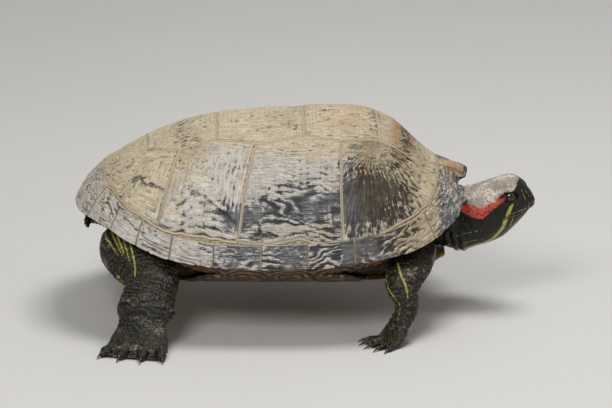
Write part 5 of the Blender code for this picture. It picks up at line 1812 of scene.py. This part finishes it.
def scale_shape(length, width, thick):
    """A small domed shield: points (along, across, up); its free end is lifted."""
    turns = ring_steps(SCALE_SIDES)
    outline = np.column_stack([np.cos(turns) * length / 2, np.sin(turns) * width / 2])
    outline[:, 1] *= 1 - 0.22 * np.cos(turns)
    tilt = outline[:, 0] / length
    low = np.column_stack([outline, -thick * 0.9 + tilt * thick * 0.5])
    high = np.column_stack([outline * 0.80, thick * (0.55 + tilt * 0.9)])
    top = np.array([[length * 0.06, 0, thick * 0.95]])
    return np.vstack([low, high, top, [[0, 0, -thick]]])


def scale_faces():
    """Faces of one scale's points."""
    n = SCALE_SIDES
    faces = []
    for i in range(n):
        j = (i + 1) % n
        faces += [(i, j, n + j), (i, n + j, n + i), (n + i, n + j, 2 * n), (j, i, 2 * n + 1)]
    return np.array(faces)


class ScaleBed:
    """Collects scales laid on the skin, with each one's place on the unwrap."""

    def __init__(self, seed):
        self.random = np.random.default_rng(seed)
        self.points, self.roots = [], []

    def add(self, spot, normal, down, length, width, thick, patch):
        """One scale at a spot, pointing down the limb; patch is its place on the unwrap."""
        normal = normal / np.linalg.norm(normal)
        down = down - normal * np.dot(down, normal)
        down /= max(np.linalg.norm(down), 1e-9)
        spin = self.random.normal(0, 0.12)
        side = np.cross(normal, down)
        down, side = (down * math.cos(spin) + side * math.sin(spin),
                      side * math.cos(spin) - down * math.sin(spin))
        grow = 1 + self.random.normal(0, 0.10)
        shape = scale_shape(length * grow, width * grow, thick * (0.8 + 0.4 * self.random.random()))
        self.points.append(spot + shape[:, :1] * down + shape[:, 1:2] * side + shape[:, 2:] * normal)
        self.roots.append(np.asarray(patch) + shape[:, :2] / max(length, width) * OFBAKE_PATCH)


def cover_limb(bed, tree, path, block, start, end, row, across_step, thick, top_only=False):
    """Rows of scales round a limb from start to end of its run; block is its place and
    size on the unwrap."""
    for r in range(int((end - start) / row)):
        run = start + (r + 0.5) * row
        k = min(max(int(np.searchsorted(path["run"], run)), 1), len(path["run"]) - 1)
        t = (run - path["run"][k - 1]) / max(path["run"][k] - path["run"][k - 1], 1e-9)
        here = {key: values[k - 1] * (1 - t) + values[k] * t for key, values in path.items()}
        wide, deep = here["wide"], here["deep"]
        girth = math.pi * (3 * (wide + deep) - math.sqrt((3 * wide + deep) * (wide + 3 * deep)))
        across_count = max(6, int(girth / across_step))
        for j in range(across_count):
            angle = 2 * math.pi * (j + 0.5 * (r % 2) + bed.random.normal(0, 0.10)) / across_count
            ray = here["across"] * math.cos(angle) * wide + here["thick"] * math.sin(angle) * deep
            reach = np.linalg.norm(ray)
            ray = Vector(ray / reach)
            origin = here["centre"] + here["forward"] * bed.random.normal(0, row * 0.07)
            spot, normal, _, distance = tree.ray_cast(Vector(origin), ray)
            if spot is None or distance > reach * 1.35 + 0.0015 or spot.z < FLOOR + 0.0012:
                continue
            if normal.dot(ray) < 0.25 or (top_only and normal.z < 0.05):
                continue
            patch = (block[0] + (angle / (2 * math.pi) % 1.0) * block[2],
                     block[1] + run / path["run"][-1] * block[3])
            bed.add(np.array(spot), np.array(normal), here["forward"], row * 1.22, across_step * 1.06,
                    thick, patch)


def cover_toe(bed, tree, toe, corner_u, row):
    """Three files of small scales on top of a toe."""
    wide, length = float(toe["wide"].max()), toe["run"][-1]
    for r in range(int(length * 0.78 / row)):
        run = length * 0.16 + (r + 0.5) * row
        if run > length * 0.93:
            break
        k = min(int(np.searchsorted(toe["run"], run)), len(toe["run"]) - 1)
        for j in (-1, 0, 1):
            up = toe["thick"][k] * math.copysign(1, toe["thick"][k][2])
            ray = unit(up + toe["across"][k] * j * 0.95)
            spot, normal, _, distance = tree.ray_cast(Vector(toe["centre"][k]), Vector(ray))
            if spot is None or distance > wide * 1.8 or spot.z < FLOOR + 0.0008:
                continue
            patch = (corner_u + 0.012 * (j + 1), 0.72 + 0.22 * run / length)
            bed.add(np.array(spot), np.array(normal), toe["forward"][k], row * 1.2,
                    wide * (1.0 if j == 0 else 0.8), FOOT_SCALE, patch)


def make_scales(bodies, material):
    """Scales of each leg and foot, one joined piece for each leg."""
    row = bpy.context.scene.turtle_skin.scale_row
    limbs = [(body, name, limb) for body in bodies for name, limb in body["limbs"].items()]
    for number, (body, name, limb) in enumerate(limbs):
        bed, tree = ScaleBed(40 + number), body["tree"]
        corner_u = 0.02 + 0.25 * number
        leg, palm = limb["leg"], limb["palm"]
        leg_run, palm_run = leg["run"][-1], palm["run"][-1]
        first = leg_run * (0.36 if name.startswith("fore") else 0.34)
        cover_limb(bed, tree, leg, (corner_u, 0.02, 0.22, 0.40), first, leg_run * 0.985,
                   row, row * 1.22, LEG_SCALE)
        cover_limb(bed, tree, palm, (corner_u, 0.46, 0.22, 0.22), palm_run * 0.14, palm_run * 0.98,
                   row * 0.78, row * 0.95, FOOT_SCALE, True)
        for i, toe in enumerate(limb["toes"]):
            cover_toe(bed, tree, toe, corner_u + 0.02 + 0.04 * i, row * 0.70)
        shape = scale_faces()
        offsets = np.arange(len(bed.points)) * (2 * SCALE_SIDES + 2)
        faces = (shape[None] + offsets[:, None, None]).reshape(-1, 3)
        points = np.vstack(bed.points)
        points[:, 2] = np.maximum(points[:, 2], FLOOR)
        # Painted shade on each scale: darkest round its base, lightest on its top.
        crease = np.tile(np.repeat(SCALE_SHADE, (SCALE_SIDES, SCALE_SIDES, 1, 1)), len(bed.points))
        masks = {"stripe": stripe_mask(points, body["lines"], tree), "red": np.zeros(len(points)),
                 "crease": crease, "dry": leg_dust(points) * (1 - crease)}
        piece = make_piece(f"scales_{name}", points, faces.tolist(), material, masks, "skin")
        corners = values_of(piece.data.loops, "vertex_index", np.int32)
        layer = piece.data.uv_layers.new(name="OFBake")
        layer.data.foreach_set("uv", np.vstack(bed.roots)[corners].ravel().astype(np.float32))


# ---- claws, beak, eyes ----
def horn_material(name, dark, light, gloss):
    """Dark glossy horn that pales in streaks."""
    material, tree, shader = new_material(name)
    streak = speckle(tree, 700.0, 4.0, 0.6, (1.0, 1.0, 0.5))
    connect(tree, shader, Base_Color=mix(tree, between(tree, streak, 0.35, 0.7), dark, light),
            Roughness=between(tree, streak, 0.2, 0.8, gloss * 0.8, gloss * 1.3),
            Normal=bump_of(tree, speckle(tree, 1500.0), 0.0002, 0.35))
    return material


def make_claws(limbs, material):
    """A curved claw at the end of every toe, joined foot by foot."""
    for name, limb in limbs.items():
        points, faces = merged([tube_mesh(claw, 18) for claw in limb["claws"]])
        points[:, 2] = np.maximum(points[:, 2], FLOOR + 0.00002)
        make_piece(f"claws_{name}", points, faces, material, slot="horn")


BEAK_CENTRE, BEAK_FRONT, BEAK_REAR = 0.0330, 0.0440, 0.0265     # distances ahead in the head's frame
# Edges of the band along the mouth's line, and how far it stands out.
BEAKS = (("beak_upper", 0.00012, 0.0019, 0.00040), ("beak_lower", -0.00030, -0.0016, 0.00022))
# Cross-section of the band: share of its width, share of its height, None for its sunk rims.
BEAK_SECTION = ((0.0, None), (0.0, 0.9), (0.35, 1.0), (0.75, 0.75), (1.0, 0.2), (1.0, None))
BEAK_SUNK = -0.0004


def make_beak(material):
    """Horny edges of both jaws, a band along the mouth round the snout."""
    turns = np.linspace(-1, 1, 141)
    tree = surface_tree(*head_tube())
    for name, mouth_side, far_side, proud in BEAKS:
        rings = []
        for t in turns:
            ahead = BEAK_FRONT - (BEAK_FRONT - BEAK_REAR) * abs(t)**1.7
            aim = unit(np.array([ahead - BEAK_CENTRE, math.copysign(0.0140 * abs(t)**0.8, t), 0.0]))
            fade = 1 - ease(0.80, 1.0, abs(t))
            width = (far_side - mouth_side) * (0.35 + 0.65 * fade)
            low, high = sorted((mouth_side, mouth_side + width))
            ring = []
            for share, out in BEAK_SECTION:
                z = along(MOUTH, ahead) + low + (high - low) * share
                start, ray, distance = head_ray(tree, np.array([BEAK_CENTRE, 0.0, z]), aim)
                distance = 0.010 if distance is None else distance
                lift = BEAK_SUNK if out is None else proud * out * fade
                ring.append(start + ray * (distance + lift))
            rings.append(ring)
        points = np.array(rings)
        rows, columns = points.shape[:2]
        faces = grid_faces(rows, columns, True)
        faces += [tuple(range(columns)), tuple((rows - 1) * columns + i for i in range(columns))]
        make_piece(name, points.reshape(-1, 3), faces, material, slot="horn", nodes=["lower_jaw"])


def eye_material():
    """Wet eye: dark pupil with a bar through it, olive iris."""
    material, tree, shader = new_material("wet_eye")
    tone = speckle(tree, 2200.0, 3.0)
    iris = mix(tree, between(tree, tone, 0.3, 0.7), (0.008, 0.009, 0.004), (0.046, 0.046, 0.015))
    colour = mix(tree, between(tree, mask(tree, "pupil"), 0.35, 0.65), iris, (0.002, 0.002, 0.002))
    colour = mix(tree, mask(tree, "corner"), colour, (0.22, 0.085, 0.065))
    connect(tree, shader, Base_Color=colour, Normal=bump_of(tree, tone, 0.00005, 0.15))
    shader.inputs["Roughness"].default_value = 0.07
    shader.inputs["Coat Weight"].default_value = 0.5
    shader.inputs["Coat Roughness"].default_value = 0.02
    return material


def make_eyes(material):
    """Two eyeballs with a slightly raised clear front."""
    lat = np.linspace(0, np.pi, 50)[1:-1, None]
    lon = ring_steps(64)
    ball = np.stack([np.sin(lat) * np.cos(lon), np.sin(lat) * np.sin(lon), np.cos(lat) + lon * 0], axis=-1)
    flat, faces = closed_grid(ball, [[0, 0, 1], [0, 0, -1]])
    u, v = flat[:, 0], np.abs(flat[:, 1])
    off_axis = np.hypot(u, v)
    bulge = 1 + 0.05 * np.exp(-(off_axis / 0.5)**2) * (flat[:, 2] > 0)
    shape = flat * EYE_RADIUS * 0.99 * bulge[:, None]
    iris = 1 - ease(0.30, 0.34, off_axis)
    bar = (1 - ease(0.10, 0.15, v)) * (1 - ease(0.50, 0.62, np.abs(u)))
    rim = ease(0.60, 0.66, off_axis)
    masks = {"pupil": np.maximum(np.maximum(iris, bar * 0.9), rim),
             "corner": ease(-0.62, -0.78, u) * (1 - ease(0.25, 0.5, v))}
    for side, word in SIDES:
        centre, forward, upward, outward = eye_frame(side)
        points = centre + shape[:, :1] * forward + shape[:, 1:2] * upward + shape[:, 2:] * outward
        make_piece(f"eyeball_{word}", from_head(points), faces, material, masks, "eye", [f"eye_{word}"])


# ---- stage ----
CAMERA_DISTANCE, CAMERA_ELEVATION = 3.0, 16.0
CAMERA_AIM = (0.0221, 0.0040, 0.0141)       # in the shell's frame
VIEW_WIDTH = 0.3815                          # width of the view at the aim, in metres
SENSOR = 36.0                                # width of the camera's sensor, in millimetres
# Lamps: place, size, power, colour.
LAMPS = {"overhead": ((0.30, 0.10, 1.30), 0.50, 10.0, (1.0, 0.985, 0.96)),
         "front_high": ((-0.45, -1.25, 1.15), 0.6, 13.0, (1.0, 0.98, 0.95)),
         "front_right": ((1.10, -1.00, 0.60), 0.6, 1.6, (0.95, 0.97, 1.0)),
         "behind": ((0.20, 1.40, 0.90), 1.0, 2.0, (0.97, 0.98, 1.0))}


def add_aimed(name, data, spot, aim):
    """An object at a spot that faces the aim."""
    obj = bpy.data.objects.new(name, data)
    obj.location = spot
    obj.rotation_euler = (aim - obj.location).to_track_quat("-Z", "Y").to_euler()
    bpy.context.scene.collection.objects.link(obj)
    return obj


def make_stage():
    """Pale floor, soft studio light, and a camera level with the shell's side."""
    floor, tree, shader = new_material("pale_floor")
    tone = speckle(tree, 3.0, 3.0)
    connect(tree, shader, Base_Color=mix(tree, tone, (0.60, 0.59, 0.57), (0.66, 0.65, 0.63)),
            Normal=bump_of(tree, speckle(tree, 900.0), 0.0002, 0.3))
    shader.inputs["Roughness"].default_value = 0.75
    bpy.ops.mesh.primitive_plane_add(size=8.0)
    plane = bpy.context.object
    plane.name = "floor"
    plane.data.materials.append(floor)

    aim = Vector(place(CAMERA_AIM))
    lift = math.radians(CAMERA_ELEVATION)
    data = bpy.data.cameras.new("camera")
    data.sensor_width = SENSOR
    data.lens = SENSOR * CAMERA_DISTANCE / VIEW_WIDTH
    data.clip_end = 20.0
    spot = aim + Vector((0, -math.cos(lift), math.sin(lift))) * CAMERA_DISTANCE
    bpy.context.scene.camera = add_aimed("camera", data, spot, aim)

    for name, (spot, size, energy, colour) in LAMPS.items():
        lamp = bpy.data.lights.new(name, "AREA")
        lamp.size = size
        lamp.energy = energy
        lamp.color = colour
        add_aimed(name, lamp, spot, aim)
    world = bpy.data.worlds.new("studio")
    world.use_nodes = True
    background = world.node_tree.nodes["Background"]
    background.inputs["Color"].default_value = (0.85, 0.87, 0.90, 1.0)
    background.inputs["Strength"].default_value = 0.26
    bpy.context.scene.world = world
    bpy.context.scene.view_settings.view_transform = "Standard"


# ---- operators ----
class TURTLE_OT_carapace(bpy.types.Operator):
    """Make the ridge and flank plates and the pale horn in their seams"""

    bl_idname = "turtle.carapace"
    bl_label = "Carapace"

    def execute(self, context):
        make_carapace(shell_material())
        make_seam_bed(bed_material())
        return {"FINISHED"}


class TURTLE_OT_rim(bpy.types.Operator):
    """Make the rim plates and the nuchal plate"""

    bl_idname = "turtle.rim"
    bl_label = "Rim plates"

    def execute(self, context):
        make_rim(shell_material())
        return {"FINISHED"}


class TURTLE_OT_plastron(bpy.types.Operator):
    """Make the plates of the underside"""

    bl_idname = "turtle.plastron"
    bl_label = "Plastron"

    def execute(self, context):
        make_plastron(plastron_material())
        return {"FINISHED"}


class TURTLE_OT_flesh(bpy.types.Operator):
    """Make the skin, and the scales and claws that lie on it"""

    bl_idname = "turtle.flesh"
    bl_label = "Skin, scales and claws"

    def execute(self, context):
        limbs, bodies = make_skin(skin_material("skin", light=1.0, gloss=0.28, pebbles=1500.0))
        # The scales' skin colour is 3.3 times lighter than the skin's: painted highlight on the scale
        # rows.
        make_scales(bodies, skin_material("scales", light=3.3, gloss=0.25, pebbles=2600.0))
        make_claws(limbs, horn_material("claw_horn", (0.012, 0.010, 0.008), (0.075, 0.060, 0.042), 0.28))
        return {"FINISHED"}


class TURTLE_OT_face(bpy.types.Operator):
    """Make the horny edges of the jaws and the eyes"""

    bl_idname = "turtle.face"
    bl_label = "Beak and eyes"

    def execute(self, context):
        make_beak(horn_material("beak_horn", (0.030, 0.028, 0.016), (0.120, 0.110, 0.055), 0.32))
        make_eyes(eye_material())
        return {"FINISHED"}


class TURTLE_OT_stage(bpy.types.Operator):
    """Make the floor, the lights and the camera"""

    bl_idname = "turtle.stage"
    bl_label = "Stage"

    def execute(self, context):
        make_stage()
        return {"FINISHED"}


STEPS = (TURTLE_OT_carapace, TURTLE_OT_rim, TURTLE_OT_plastron, TURTLE_OT_flesh, TURTLE_OT_face,
         TURTLE_OT_stage)


class TURTLE_PT_panel(bpy.types.Panel):
    """Lists the turtle's steps in the sidebar"""

    bl_idname = "TURTLE_PT_panel"
    bl_label = "Slider Turtle"
    bl_space_type = "VIEW_3D"
    bl_region_type = "UI"
    bl_category = "Turtle"

    def draw(self, context):
        for step in STEPS:
            self.layout.operator(step.bl_idname)


CLASSES = (ShellSettings, SkinSettings, *STEPS, TURTLE_PT_panel)


def register():
    """Register the classes and their settings."""
    for item in CLASSES:
        bpy.utils.register_class(item)
    bpy.types.Scene.turtle_shell = bpy.props.PointerProperty(type=ShellSettings)
    bpy.types.Scene.turtle_skin = bpy.props.PointerProperty(type=SkinSettings)


def unregister():
    """Remove what register added."""
    del bpy.types.Scene.turtle_skin
    del bpy.types.Scene.turtle_shell
    for item in reversed(CLASSES):
        bpy.utils.unregister_class(item)


def main():
    """Build every piece in order."""
    register()
    bpy.ops.turtle.carapace()
    bpy.ops.turtle.rim()
    bpy.ops.turtle.plastron()
    bpy.ops.turtle.flesh()
    bpy.ops.turtle.face()
    bpy.ops.turtle.stage()


if __name__ == "__main__":
    main()
